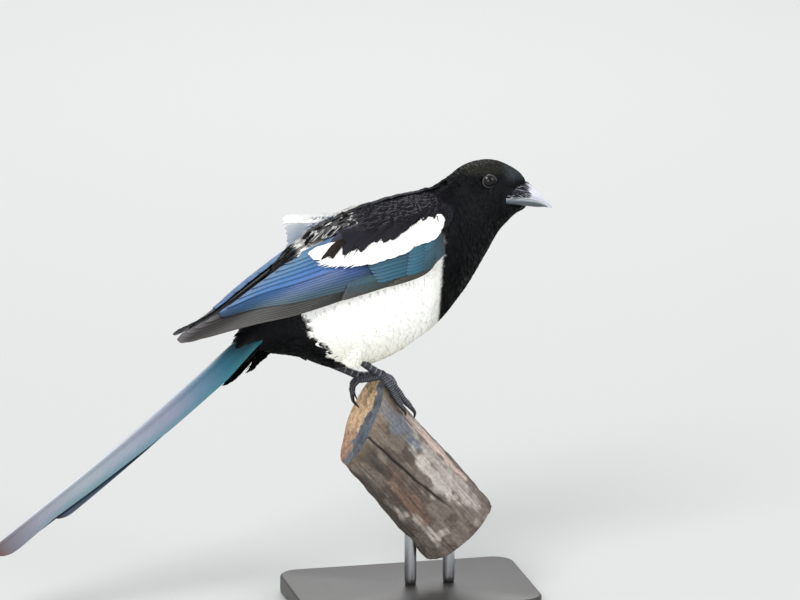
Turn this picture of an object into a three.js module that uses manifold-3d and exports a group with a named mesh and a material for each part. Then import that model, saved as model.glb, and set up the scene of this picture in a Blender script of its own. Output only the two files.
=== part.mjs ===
// A life-size Eurasian magpie, perched on the broken end of a weathered branch, on a plain display stand.
// Millimetres, +Z up. The bird faces +X and its left side is +Y.
// The origin is the middle of the base's underside.
import * as THREE from "three";
import { mergeVertices } from "three/addons/utils/BufferGeometryUtils.js";
import Module from "manifold-3d";

const wasm = await Module();
wasm.setup();

const V = (x, y, z) => new THREE.Vector3(x, y, z);
const { lerp, clamp, degToRad, smoothstep } = THREE.MathUtils;

// Room between pieces that touch
const GAP = 0.3;
const CLEAR = GAP + 0.1;

// Where the bird's feet stand over the middle of the base
const FEET = { x: -22, z: 146 };

// Body outline, from the tail's root to the bill's root: a back point, a belly point, half the width, and
// how much broader the back is than the belly
const BODY = [
  { back: [-92, 50], belly: [-80, 33], half: 12, broad: 0 },
  { back: [-78, 76], belly: [-56, 29], half: 22, broad: 0 },
  { back: [-58, 103], belly: [-33, 20], half: 31, broad: 0.06 },
  { back: [-34, 116], belly: [-8, 20], half: 36, broad: 0.12 },
  { back: [-8, 126], belly: [16, 29.5], half: 37, broad: 0.14 },
  { back: [14, 131], belly: [38, 45.5], half: 34, broad: 0.14 },
  { back: [32, 134], belly: [56, 66], half: 29, broad: 0.12 },
  { back: [46, 142], belly: [69, 86], half: 23, broad: 0.06 },
  { back: [57, 150], belly: [79.8, 104.2], half: 19, broad: 0 },
  { back: [68, 153.5], belly: [86.8, 112], half: 17, broad: 0 },
  { back: [80, 153], belly: [92, 116.4], half: 13.4, broad: 0 },
  { back: [92, 147], belly: [96.3, 118.4], half: 8.8, broad: 0 },
  { back: [99.5, 140.2], belly: [100, 119.6], half: 5.6, broad: 0 },
];
const BODY_SIDES = 24;
const SPLIT = { rump: 0, torso: 1.7, neck: 5.6, head: 8, bill: 12 };

// Bill: along the head, with the ridge, the mouth line and half the width, then the lower half's floor
const UPPER_BILL = [
  { x: 84, ridge: 137.5, mouth: 129.2, half: 11.2 },
  { x: 90, ridge: 138.6, mouth: 129.3, half: 9.9 },
  { x: 96, ridge: 138.4, mouth: 128.4, half: 8.3 },
  { x: 101.6, ridge: 136.2, mouth: 126.9, half: 6.5 },
  { x: 106.4, ridge: 132.5, mouth: 125.4, half: 5.1 },
  { x: 110.5, ridge: 129, mouth: 123, half: 3.7 },
  { x: 114, ridge: 125.5, mouth: 120.6, half: 2.4 },
  { x: 116.4, ridge: 122.3, mouth: 119.2, half: 1.2 },
  { x: 117.5, ridge: 119.9, mouth: 118.9, half: 0.4 },
];
const LOWER_BILL = [
  { x: 84, mouth: 129.2, floor: 123.2, half: 10.8 },
  { x: 92, mouth: 129, floor: 121.9, half: 9.1 },
  { x: 100.2, mouth: 127.2, floor: 121.1, half: 6.5 },
  { x: 107.1, mouth: 125.1, floor: 120, half: 4.5 },
  { x: 112.3, mouth: 121.8, floor: 119.8, half: 2.6 },
  { x: 114.8, mouth: 120, floor: 119.2, half: 1.2 },
];

const BILL_ARC = 7;

// Eye and its lids
const EYE = { x: 72, y: 9.3, z: 142.8, radius: 6.2 };
const LID = { y: 14.1, ring: 4.4, tube: 0.8 };

// Stiff feathers that lie forward over the nostrils, counted on each side. from and to are bill stations,
// high and low are turns up from the mouth line, and over and under are heights over the bill
const BRISTLES = {
  count: 3, width: 4.4, from: 0.3, to: 3.3, shorter: 1.2, high: 1.4, low: 0.3, over: 1.5, under: 0.5,
};

// Folded right wing, from the wrist back to the tip: lower edge, upper edge and outward swell between them
const WING = [
  { lower: [37, -33, 101], upper: [34, -27, 124], swell: 2 },
  { lower: [22, -37.5, 88.8], upper: [24, -28, 124], swell: 3.5 },
  { lower: [-2.7, -40, 82.5], upper: [3, -30, 118], swell: 4.5 },
  { lower: [-32.7, -39, 74.3], upper: [-27, -25, 110], swell: 5.5 },
  { lower: [-62, -34, 65.2], upper: [-52, -13, 100], swell: 6.5 },
  { lower: [-86.2, -27, 58.9], upper: [-76, -5.5, 84], swell: 5.5 },
  { lower: [-116.8, -16, 48.6], upper: [-108, -6, 61], swell: 1.5 },
  { lower: [-137.2, -9, 41.3], upper: [-136.6, -8, 44], swell: 0 },
];
const WING_CORE = { from: 0.1, to: 6.5, low: 1.2, high: 1, inner: -7, outer: -0.4, across: 5, steps: 9 };
const BLADE = 1.3;
const THIN_FROM = 5.9;
const THINNING = 2.5;

// How a long and a short feather's width, height and tip go from root to tip
const LONG = [
  { t: 0, wide: 0.9, rise: 0 },
  { t: 0.36, wide: 1, rise: 0.9 },
  { t: 0.7, wide: 1, rise: 1 },
  { t: 0.9, wide: 0.8, rise: 1, turn: 0.06 },
  { t: 1, wide: 0.2, rise: 1, turn: 0.34 },
];
const SHORT = [
  { t: 0, wide: 1, rise: 0 },
  { t: 0.5, wide: 1, rise: 1 },
  { t: 0.84, wide: 0.85, rise: 1, turn: 0.06 },
  { t: 1, wide: 0.25, rise: 1, turn: 0.34 },
];

// Heights over the wing's surface where a feather's root and its underside lie in the wing's body
const SUNK = -1.4;
const ROOTED = -1.2;
const VANE = 0.8;

// Tiers of wing feathers, each from the lowest feather to the highest. A feather's free lower edge runs
// from its root to its tip, each given as a wing station and a distance above the wing's lower edge;
// lift is how far it stands out
const TIERS = {
  primaries: {
    rows: LONG, count: 8, width: 7.5, lift: 0.9,
    root: (i) => [2.7, 0.4 + 1.5 * i],
    tip: (i) => [[6.35, 6.8, 7, 7.02, 6.92, 6.78, 6.58, 6.32][i], [-0.6, 0, 1, 2, 3.8, 6, 8.8, 12][i]],
  },
  secondaries: {
    rows: LONG, count: 5, width: 7, lift: 1.5, rounded: 1,
    root: (i) => [2.45, 5.5 + 3.8 * i],
    tip: (i) => [5.86 + 0.05 * i, 10.5 + 1.5 * i],
  },
  tertials: {
    rows: LONG, count: 3, width: 7.5, lift: 1.9, rounded: 1,
    root: (i) => [2.7 + 0.15 * i, 24 + 3.5 * i],
    tip: (i) => [5.62 - 0.48 * i, 18.5 + 4.4 * i],
  },
  primaryCoverts: {
    rows: SHORT, count: 4, width: 4.6, lift: 1.9, rounded: 1,
    root: (i) => [1.7, 0.8 + 2.6 * i],
    tip: (i) => [3.1 - 0.03 * i, 1.4 + 2.6 * i],
  },
  greaterCoverts: {
    rows: SHORT, count: 4, width: 7, lift: 2.3, rounded: 1,
    root: (i) => [1.2, 5 + 4.6 * i],
    tip: (i) => [2.55 + 0.1 * i, 6.5 + 4.6 * i],
  },
  medianCoverts: {
    rows: SHORT, count: 4, width: 6.2, lift: 2.8, rounded: 1,
    root: (i) => [0.75, 4 + 4 * i],
    tip: (i) => [1.85, 4 + 4 * i],
  },
  lesserCoverts: {
    rows: SHORT, count: 3, width: 7, lift: 3.2, rounded: 1,
    root: (i) => [0.2, 3 + 4 * i],
    tip: (i) => [1.1, 3.4 + 4.4 * i],
  },
  alula: {
    rows: SHORT, count: 2, width: 3.4, lift: 2.4, rounded: 1,
    root: (i) => [0.4, 0.3 + 1.8 * i],
    tip: (i) => [2.05 - 0.3 * i, -0.2 + 1.8 * i],
  },
};

// White shoulder feathers along the top of the wing: how low they reach at the front and the back, as
// shares of the way across, and their depth over the wing's surface
const SHOULDER = { from: 0.05, to: 3.6, lowFront: 0.42, lowBack: 0.86, high: 1.2, inner: 3.6, outer: 5.2 };
const SHOULDER_ROOM = { outer: 10, wider: 5 };

// Wing stations between which ruffled shoulder feathers rise
const RUFFLED = { from: 1.8, to: 3.2 };

// Tail: where its ridge leaves the body, its fall below level, the slope of its two sides and its sag
const TAIL = { ridge: [-92, 43.9], slope: 38.4, roof: 26, sag: 2.5, hidden: 9, thick: 0.6, layer: 0.9 };

// Its feathers from the middle pair outwards, with the outer edge's distance from the ridge at the body
// and towards the tip. The middle pair crosses the ridge
const TAIL_PAIRS = [
  { length: 217, body: 20.5, end: 15 },
  { length: 194, body: 17.5, end: 12.5 },
  { length: 171, body: 15.5, end: 18 },
  { length: 146, body: 14, end: 17 },
  { length: 122, body: 12.5, end: 13 },
  { length: 100, body: 11.5, end: 12 },
];
const TAIL_CROSSING = 7.5;
const COVERTS = { above: 5, below: 6, rootAbove: -20, rootBelow: -18, high: 2.4, low: -8 };

// Legs: the foot's joint, the heel and the tarsus thickness, for the right leg and the left leg
const LEG = { tarsus: [2.2, 2.7], joint: 3.1, sides: 8 };
const RIGHT = {
  ruffle: 0,
  pad: [0, -10, 14],
  heel: [-35, -20.3, 41],
  thigh: [[-12, -25, 52, 15], [-22, -18, 28, 6.5]],
};
const LEFT = {
  ruffle: 14,
  pad: [-8, 15, 7],
  heel: [-50, 21.6, 25.5],
  thigh: [[-28, 24, 50, 16], [-47, 21, 26, 6.5]],
};

// Branch: a point on its axis, its fall below level, its radius, and its slanting broken end
const BRANCH = { axis: [21, -58], fall: 50.7, radius: 28, bottom: 52, sides: 26, rings: 8 };
const BREAK = { through: [1.6, 9.9], slope: 65.6, rough: 1.2 };

// Stand
const BASE = { length: 160, width: 104, height: 12, corner: 14, bevel: 1.5 };
const ROD = { radius: 4, sunk: 20, places: [48, 22] };

const COLOURS = {
  black: { color: 0x0b0c10, roughness: 0.55, metalness: 0 },
  white: { color: 0xf4f3ec, roughness: 0.8, metalness: 0 },
  blue: { color: 0x2c5f93, roughness: 0.4, metalness: 0.1 },
  tail: { color: 0x4f6f78, roughness: 0.35, metalness: 0.15 },
  bill: { color: 0x24272b, roughness: 0.3, metalness: 0 },
  eye: { color: 0x080505, roughness: 0.08, metalness: 0 },
  leg: { color: 0x30333a, roughness: 0.55, metalness: 0 },
  wood: { color: 0x7d7068, roughness: 0.85, metalness: 0 },
  base: { color: 0x2b2a29, roughness: 0.5, metalness: 0 },
  steel: { color: 0x9a9da0, roughness: 0.3, metalness: 1 },
};

// Solids from points and faces

function solidOf(points, faces) {
  const made = new wasm.Manifold(
    new wasm.Mesh({
      numProp: 3,
      vertProperties: new Float32Array(points.flatMap((p) => [p.x, p.y, p.z])),
      triVerts: new Uint32Array(faces.flat()),
    }),
  );
  return made;
}

function solidOfGeometry(geometry) {
  const bare = geometry.clone();
  bare.deleteAttribute("normal");
  bare.deleteAttribute("uv");
  const merged = mergeVertices(bare, 1e-4);
  return new wasm.Manifold(
    new wasm.Mesh({
      numProp: 3,
      vertProperties: new Float32Array(merged.attributes.position.array),
      triVerts: new Uint32Array(merged.index.array),
    }),
  );
}

// A closed body through rings of equally many points, which run clockwise as seen from the last ring
function loft(rings) {
  const n = rings[0].length;
  const points = rings.flat();
  const faces = [];
  for (let i = 0; i + 1 < rings.length; i++) {
    for (let j = 0; j < n; j++) {
      const a = i * n + j;
      const b = i * n + ((j + 1) % n);
      faces.push([a, b, a + n], [b, b + n, a + n]);
    }
  }
  const last = (rings.length - 1) * n;
  const middle = (ring) => ring.reduce((sum, p) => sum.add(p), V(0, 0, 0)).divideScalar(n);
  const start = points.push(middle(rings[0])) - 1;
  const end = points.push(middle(rings.at(-1))) - 1;
  for (let j = 0; j < n; j++) {
    const k = (j + 1) % n;
    faces.push([k, j, start], [last + j, last + k, end]);
  }
  const made = solidOf(points, faces);
  return made.volume() < 0 ? solidOf(points, faces.map(([a, b, c]) => [a, c, b])) : made;
}

// A thin closed plate between two grids of points, split into the same triangles on both faces
function plate(top, bottom) {
  const rows = top.length;
  const columns = top[0].length;
  const points = [...top.flat(), ...bottom.flat()];
  const below = rows * columns;
  const at = (i, j) => i * columns + j;
  const faces = [];
  for (let i = 0; i + 1 < rows; i++) {
    for (let j = 0; j + 1 < columns; j++) {
      const [a, b, c, d] = [at(i, j), at(i, j + 1), at(i + 1, j), at(i + 1, j + 1)];
      faces.push([a, b, d], [a, d, c]);
      faces.push([below + a, below + d, below + b], [below + a, below + c, below + d]);
    }
  }
  const rim = [];
  for (let j = 0; j + 1 < columns; j++) rim.push([at(0, j), at(0, j + 1)]);
  for (let i = 0; i + 1 < rows; i++) rim.push([at(i, columns - 1), at(i + 1, columns - 1)]);
  for (let j = columns - 1; j > 0; j--) rim.push([at(rows - 1, j), at(rows - 1, j - 1)]);
  for (let i = rows - 1; i > 0; i--) rim.push([at(i, 0), at(i - 1, 0)]);
  for (const [a, b] of rim) faces.push([a, below + a, b], [b, below + a, below + b]);
  const made = solidOf(points, faces);
  return made.volume() < 0 ? solidOf(points, faces.map(([a, b, c]) => [a, c, b])) : made;
}

const fuse = (solids) => solids.reduce((all, one) => all.add(one));
const cut = (solid, ...tools) => tools.reduce((left, tool) => left.subtract(tool), solid);
const largest = (solid) => solid.decompose().sort((a, b) => b.volume() - a.volume())[0];

// A smooth value between stations, with the ends held
function along(values, t) {
  const last = values.length - 1;
  const i = clamp(Math.floor(t), 0, last - 1);
  const f = t - i;
  const [p0, p1, p2, p3] = [i - 1, i, i + 1, i + 2].map((k) => values[clamp(k, 0, last)]);
  if (f < 0 || f > 1) return lerp(p1, p2, f);
  const [b, c, d] = [p2 - p0, 2 * p0 - 5 * p1 + 4 * p2 - p3, 3 * p1 - p0 - 3 * p2 + p3];
  return p1 + 0.5 * f * (b + f * (c + f * d));
}

const stationPoint = (stations, key, t) =>
  V(...stations[0][key].map((_, axis) => along(stations.map((s) => s[key][axis]), t)));

// Body

function bodyRing(t, grow = 0) {
  const at = (key, axis) => along(BODY.map((s) => s[key][axis]), t);
  const back = V(at("back", 0), 0, at("back", 1));
  const belly = V(at("belly", 0), 0, at("belly", 1));
  const up = back.clone().sub(belly);
  const depth = up.length() / 2 + grow;
  up.normalize();
  const middle = back.clone().add(belly).divideScalar(2);
  const half = along(BODY.map((s) => s.half), t) + grow;
  const broad = along(BODY.map((s) => s.broad), t);
  return Array.from({ length: BODY_SIDES }, (_, k) => {
    const angle = (2 * Math.PI * k) / BODY_SIDES;
    const side = half * Math.sin(angle) * (1 + broad * Math.cos(angle));
    return middle.clone().addScaledVector(up, depth * Math.cos(angle)).add(V(0, side, 0));
  });
}

function bodySpan(from, to, steps, grow = 0) {
  return loft(Array.from({ length: steps + 1 }, (_, k) => bodyRing(lerp(from, to, k / steps), grow)));
}

// The share of a station that leaves half the gap at a cut across the body
const CUT = 0.022;
const wholeBody = (grow) => bodySpan(SPLIT.rump, SPLIT.bill, 26, grow);

function billRing(station, arch, grow) {
  const { x, mouth, half } = station;
  const peak = arch > 0 ? station.ridge + grow : station.floor - grow;
  const seam = mouth - arch * (grow - (arch > 0 ? 0 : GAP));
  return Array.from({ length: BILL_ARC + 1 }, (_, k) => {
    const angle = (Math.PI * k) / BILL_ARC;
    return V(x, (half + grow) * Math.cos(angle), lerp(seam, peak, Math.sin(angle) ** 0.8));
  });
}

function upperBill(grow = 0) {
  const rings = UPPER_BILL.map((s) => billRing(s, 1, grow));
  rings[0].forEach((p) => (p.x -= grow));
  return loft(rings);
}

function lowerBill(grow = 0) {
  const rings = LOWER_BILL.map((s) => billRing(s, -1, grow));
  rings[0].forEach((p) => (p.x -= grow));
  return loft(rings);
}

function eyeball(side, grow = 0) {
  const ball = new THREE.SphereGeometry(EYE.radius + grow, 12, 8);
  ball.rotateX(Math.PI / 2);
  ball.translate(EYE.x, side * EYE.y, EYE.z);
  return solidOfGeometry(ball);
}

function lid(side) {
  const ring = new THREE.TorusGeometry(LID.ring, LID.tube, 5, 14);
  ring.rotateX(Math.PI / 2);
  ring.translate(EYE.x, side * LID.y, EYE.z);
  return solidOfGeometry(ring);
}

// A flat lock of bristles from the forehead, forward over the bill
function bristle(side, i) {
  const { count, width, from, to, shorter, high, low, over: outside, under } = BRISTLES;
  const share = i / (count - 1);
  const turn = lerp(high, low, share);
  const [top, bottom] = [[], []];
  for (const [t, wide] of [[0, 1], [0.4, 1], [0.75, 0.7], [1, 0.15]]) {
    const station = lerp(from, to - shorter * share, t);
    const [x, ridge, mouth, half] = ["x", "ridge", "mouth", "half"].map((key) =>
      along(UPPER_BILL.map((s) => s[key]), station));
    const at = (angle, lift) =>
      V(x, side * (half + lift) * Math.cos(angle), lerp(mouth, ridge + lift, Math.sin(angle) ** 0.8));
    const spread = (wide * width) / 2 / half;
    top.push([at(turn - spread, outside), at(turn + spread, outside)]);
    bottom.push([at(turn - spread, under), at(turn + spread, under)]);
  }
  return plate(top, bottom);
}

function head() {
  const skull = bodySpan(SPLIT.head + CUT, SPLIT.bill, 7);
  const cutters = [upperBill(CLEAR), lowerBill(CLEAR), eyeball(1, CLEAR), eyeball(-1, CLEAR)];
  const places = Array.from({ length: BRISTLES.count }, (_, i) => i);
  const bristles = [-1, 1].flatMap((side) => places.map((i) => bristle(side, i)));
  return largest(cut(fuse([skull, lid(1), lid(-1), ...bristles]), ...cutters));
}

// Wing surface: station u from wrist to tip, v from the lower to the upper edge, h outwards

function wingPoint(u, v, h = 0) {
  const bare = (a, b) => {
    const low = stationPoint(WING, "lower", a);
    const high = stationPoint(WING, "upper", a);
    const swell = Math.max(0, along(WING.map((s) => s.swell), a)) * Math.sin(Math.PI * clamp(b, 0, 1));
    const chord = high.clone().sub(low).normalize();
    const back = stationPoint(WING, "lower", a + 0.05).sub(stationPoint(WING, "lower", a - 0.05));
    const out = chord.cross(back).normalize();
    return low.lerp(high, b).addScaledVector(out, swell);
  };
  const step = 0.02;
  const along1 = bare(u + step, v).sub(bare(u - step, v));
  const across = bare(u, v + step).sub(bare(u, v - step));
  const normal = across.clone().cross(along1).normalize();
  return { at: bare(u, v).addScaledVector(normal, h), across: across.normalize(), normal };
}

// The same surface by station and by distance above the wing's lower edge
function wingAt(u, up, h = 0) {
  const chord = stationPoint(WING, "upper", u).distanceTo(stationPoint(WING, "lower", u));
  return wingPoint(u, up / chord, h);
}

// The wing's body: thick by the shoulder, thinning to a blade where only flight feathers are left
function wingCore() {
  const { from, to, low, high, inner, outer, across, steps } = WING_CORE;
  const grid = (depthAt) =>
    Array.from({ length: steps + 1 }, (_, i) =>
      Array.from({ length: across + 1 }, (_, j) => {
        const u = lerp(from, to, i / steps);
        const p = wingPoint(u, j / across, depthAt(u));
        const inset = j === 0 ? low : j === across ? -high : 0;
        return p.at.addScaledVector(p.across, inset);
      }),
    );
  const innerAt = (u) => lerp(outer - BLADE, inner, clamp((THIN_FROM - u) / THINNING, 0, 1));
  return plate(grid(() => outer), grid(innerAt));
}

// Over the wing's body a feather is solid down into it, and beyond it only a vane is left
function wingFeather(tier, i) {
  const { width, lift, rounded = 0, rows } = tier;
  const [root, tip] = [tier.root(i), tier.tip(i)];
  const [top, bottom] = [[], []];
  for (const { t, wide, rise, turn = 0 } of rows) {
    const u = lerp(root[0], tip[0], t);
    const edge = wingAt(u, lerp(root[1], tip[1], t) + turn * rounded * width);
    const far = edge.at.clone().addScaledVector(edge.across, wide * width);
    const free = clamp((u - THIN_FROM) / (WING_CORE.to - THIN_FROM), 0, 1);
    const raised = lerp(SUNK, lift, rise);
    const hidden = lerp(raised * 0.4 + SUNK * 0.3, raised - VANE * 0.8, free);
    const at = (point, h) => point.clone().addScaledVector(edge.normal, h);
    top.push([at(edge.at, raised), at(far, hidden)]);
    bottom.push([at(edge.at, lerp(ROOTED, raised - VANE, free)), at(far, lerp(ROOTED, hidden - VANE, free))]);
  }
  return plate(top, bottom);
}

// White shoulder feathers over the wing's upper edge. On a ruffled side the hind ones stand out from the wing
const SHOULDER_ROWS = [
  { count: 4, from: 0.5, to: 1.75, width: 6.5 },
  { count: 4, from: 1.3, to: 2.7, width: 6.5 },
  { count: 3, from: 2.1, to: 3.75, width: 8.5 },
];

const shoulderLow = (u) =>
  lerp(SHOULDER.lowFront, SHOULDER.lowBack, (u - SHOULDER.from) / (SHOULDER.to - SHOULDER.from));

function shoulderPlate(inner, outer, wider = 0) {
  const { from, to, high } = SHOULDER;
  const steps = 6;
  const across = 3;
  const grid = (h) =>
    Array.from({ length: steps + 1 }, (_, i) =>
      Array.from({ length: across + 1 }, (_, j) => {
        const u = lerp(from - wider / 25, to + wider / 25, i / steps);
        const p = wingPoint(u, lerp(shoulderLow(u), high, j / across), h);
        return j === 0 ? p.at.addScaledVector(p.across, -wider) : p.at;
      }),
    );
  return plate(grid(outer), grid(inner));
}

function shoulderFeather(row, i, ruffle) {
  const { count, from, to, width } = row;
  const share = (i + 0.1) / count;
  const [top, bottom] = [[], []];
  for (const { t, wide, rise, turn = 0 } of SHORT) {
    const u = lerp(from, to, t);
    const p = wingPoint(u, lerp(shoulderLow(u), 1, share));
    const lift = ruffle * smoothstep(u, RUFFLED.from, RUFFLED.to) * (0.3 + 0.7 * share);
    const edge = p.at.clone().addScaledVector(p.across, turn * width - 0.5);
    const far = edge.clone().addScaledVector(p.across, wide * width);
    const raised = lerp(SHOULDER.inner + 0.6, SHOULDER.outer + 0.9, rise) + lift;
    const hidden = lerp(SHOULDER.inner + 1, SHOULDER.outer - 0.4, rise) + lift;
    const under = SHOULDER.inner + 0.2 + lift * 0.85;
    const at = (point, h) => point.clone().addScaledVector(p.normal, h);
    top.push([at(edge, raised), at(far, hidden)]);
    bottom.push([at(edge, under), at(far, under)]);
  }
  return plate(top, bottom);
}

function shoulder(ruffle) {
  const feathers = SHOULDER_ROWS.flatMap((row) =>
    Array.from({ length: row.count }, (_, i) => shoulderFeather(row, i, ruffle)));
  return fuse([shoulderPlate(SHOULDER.inner, SHOULDER.outer), ...feathers]);
}

function wing() {
  const feathers = Object.values(TIERS).flatMap((tier) =>
    Array.from({ length: tier.count }, (_, i) => wingFeather(tier, i)));
  return fuse([wingCore(), ...feathers]);
}

// Tail: a point by distance down from the body, distance to the left and height over the ridge's own roof

const tailFall = degToRad(TAIL.slope);
const TAIL_DOWN = V(-Math.cos(tailFall), 0, -Math.sin(tailFall));
const TAIL_UP = V(-Math.sin(tailFall), 0, Math.cos(tailFall));
const ROOF = Math.tan(degToRad(TAIL.roof));

function onTail(s, side, h) {
  const { length } = TAIL_PAIRS[0];
  const sag = TAIL.sag * Math.sin((Math.PI * clamp(s, 0, length)) / length);
  return V(TAIL.ridge[0], 0, TAIL.ridge[1])
    .addScaledVector(TAIL_DOWN, s)
    .addScaledVector(TAIL_UP, h - sag - Math.abs(side) * ROOF)
    .add(V(0, side, 0));
}

// Shares of the tail where every feather has a row, so that those lying on one another bend alike
const TAIL_ROWS = [0.12, 0.3, 0.5, 0.7];

// Distances from a feather's tip and the share of its width left there
const TAIL_TIP = [[13, 1], [5, 0.8], [1.2, 0.45], [0, 0.18]];

// Distance from the body over which a feather widens from its root
const TAIL_WIDENS = 34;

// One tail feather: its pair from the middle outwards, and its side
function tailFeather(pair, side) {
  const { length, body, end } = TAIL_PAIRS[pair];
  const longest = TAIL_PAIRS[0].length;
  const level = -TAIL.layer * (pair === 0 ? (side < 0 ? 0 : 1) : pair + 1);
  const shared = TAIL_ROWS.map((share) => share * longest).filter((s) => s < length - 16);
  const rows = [-TAIL.hidden, ...shared].map((s) => [s, 1]);
  rows.push(...TAIL_TIP.map(([left, wide]) => [length - left, wide]));
  const [top, bottom] = [[], []];
  for (const [s, wide] of rows) {
    const edge = lerp(body, end, s / longest);
    const start = pair === 0 ? -TAIL_CROSSING : 0.6;
    const half = ((wide * (edge - start)) / 2) * lerp(0.65, 1, clamp((s + TAIL.hidden) / TAIL_WIDENS, 0, 1));
    const middle = (edge + start) / 2;
    const [inner, outer] = [side * (middle - half), side * (middle + half)];
    const sides = pair === 0 ? [inner, inner * outer < 0 ? 0 : (inner + outer) / 2, outer] : [inner, outer];
    top.push(sides.map((y) => onTail(s, y, level)));
    bottom.push(sides.map((y) => onTail(s, y, level - TAIL.thick)));
  }
  return plate(top, bottom);
}

// The fleshy root that all the tail's feathers grow from
function tailRoot() {
  const deep = TAIL.layer * 6;
  const rings = [[-TAIL.hidden - 3, 9], [-2, 10], [5, 8.5]].map(([s, half]) =>
    Array.from({ length: 10 }, (_, k) => {
      const a = (2 * Math.PI * k) / 10;
      const middle = onTail(s, 0, -deep / 2 - 0.6);
      return middle.add(V(0, half * Math.sin(a), 0)).addScaledVector(TAIL_UP, (deep / 2) * Math.cos(a));
    }));
  return loft(rings);
}

function tail() {
  const feathers = TAIL_PAIRS.flatMap((_, pair) => [tailFeather(pair, -1), tailFeather(pair, 1)]);
  return fuse([tailRoot(), ...feathers]);
}

// Black coverts over and under the tail's root, growing out of the rump: share along, width and depth of root
const COVERT = [[0, 0.9, 1], [0.35, 1, 0], [0.75, 0.8, 0], [1, 0.14, 0]];

function tailCovert(i, count, above, grow) {
  const share = (2 * i) / (count - 1) - 1;
  const centred = 1 - Math.abs(share);
  const ragged = (above ? 2 : 4) * Math.sin(2.3 * i + (above ? 0 : 1.2));
  const start = above ? COVERTS.rootAbove : COVERTS.rootBelow;
  const end = (above ? lerp(-2, 9, centred) : lerp(17, 29, centred)) + ragged;
  const level = above ? COVERTS.high + 1.4 * centred : COVERTS.low - 1.1 * centred;
  const [top, bottom] = [[], []];
  for (const [t, wide, depth] of COVERT) {
    const s = lerp(start, end, t);
    const side = share * lerp(9, 15, t);
    const half = 4.6 * wide;
    const overRidge = above ? ROOF * Math.max(0, half - Math.abs(side)) : 0;
    const h = level + (above ? -6 : 3) * depth + overRidge;
    const deep = 0.45 + grow;
    top.push([onTail(s, side - half, h + deep), onTail(s, side + half, h + deep)]);
    bottom.push([onTail(s, side - half, h - deep), onTail(s, side + half, h - deep)]);
  }
  return plate(top, bottom);
}

function tailCoverts(grow = 0) {
  return [true, false].flatMap((above) => {
    const count = above ? COVERTS.above : COVERTS.below;
    return Array.from({ length: count }, (_, i) => tailCovert(i, count, above, grow));
  });
}

const rump = () => fuse([bodySpan(SPLIT.rump, SPLIT.torso - CUT, 4), ...tailCoverts()]);

// Tubes along points, for legs, toes and claws

function tube(path, radii, sides, flat = 1) {
  const curve = new THREE.CatmullRomCurve3(path);
  const steps = radii.length - 1;
  const rings = radii.map((radius, i) => {
    const t = i / steps;
    const forward = curve.getTangentAt(t);
    const side = V(0, 1, 0).addScaledVector(forward, -forward.y).normalize();
    const up = forward.clone().cross(side);
    const middle = curve.getPointAt(t);
    return Array.from({ length: sides }, (_, k) => {
      const a = (2 * Math.PI * k) / sides;
      return middle
        .clone()
        .addScaledVector(side, radius * flat * Math.cos(a))
        .addScaledVector(up, radius * Math.sin(a));
    });
  });
  return loft(rings);
}

function thigh(leg, grow = 0) {
  const [[hx, hy, hz, hr], [kx, ky, kz, kr]] = leg.thigh;
  const rise = [0.55, 0.9, 1, 0.85, 0.5, 0];
  const radii = rise.map((share) => lerp(kr, hr, share) * (share === rise[0] ? 0.6 : 1) + grow);
  return tube([V(hx, hy, hz), V((hx + kx) / 2, (hy + ky) / 2, (hz + kz) / 2), V(kx, ky, kz)], radii, 14);
}

function tarsus(leg) {
  const [thin, deep] = LEG.tarsus;
  return tube([V(...leg.pad), V(...leg.pad).lerp(V(...leg.heel), 0.5), V(...leg.heel)],
    [LEG.joint, deep, deep, deep, LEG.joint], LEG.sides, thin / deep);
}

// Branch

const fall = degToRad(BRANCH.fall);
const DOWN_BRANCH = V(Math.cos(fall), 0, -Math.sin(fall));
const CREST = V(Math.sin(fall), 0, Math.cos(fall));
const breakSlope = degToRad(BREAK.slope);
const BREAK_NORMAL = V(-Math.sin(breakSlope), 0, Math.cos(breakSlope));

function branchRadius(s, angle) {
  const ridges = 0.022 * Math.sin(3 * angle + s / 23) + 0.014 * Math.sin(7 * angle - s / 31);
  return BRANCH.radius * (1 + ridges + 0.02 * Math.sin(s / 17));
}

// A point on the branch: a distance down its axis, an angle from its crest towards the bird's left and
// a lift
function onBranch(s, angle, lift = 0, share = 1) {
  const r = branchRadius(s, angle) * share + lift;
  return V(BRANCH.axis[0], 0, BRANCH.axis[1])
    .addScaledVector(DOWN_BRANCH, s)
    .addScaledVector(CREST, r * Math.cos(angle))
    .add(V(0, r * Math.sin(angle), 0));
}

function breakAt(angle, share) {
  const from = onBranch(0, angle, 0, share).sub(V(BREAK.through[0], 0, BREAK.through[1]));
  return -from.dot(BREAK_NORMAL) / DOWN_BRANCH.dot(BREAK_NORMAL);
}

function branch(grow = 0) {
  const { sides, rings, bottom } = BRANCH;
  const ring = (make) => Array.from({ length: sides }, (_, k) => make((2 * Math.PI * k) / sides));
  const rough = (angle, k) => BREAK.rough * Math.sin(5 * angle + 2 * k);
  const list = [
    ring((a) => onBranch(breakAt(a, 0.45) + rough(a, 1) - grow, a, 0, 0.45)),
    ring((a) => onBranch(breakAt(a, 0.93) + rough(a, 2) - grow, a, grow, 0.93)),
    ring((a) => onBranch(breakAt(a, 1) + 3, a, grow)),
  ];
  for (let i = 1; i <= rings; i++) {
    list.push(ring((a) => onBranch(lerp(breakAt(a, 1) + 3, bottom, i / rings), a, grow)));
  }
  return loft(list);
}

// Feet: each toe is a path over the branch, and its claw goes on from the toe's end

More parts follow.
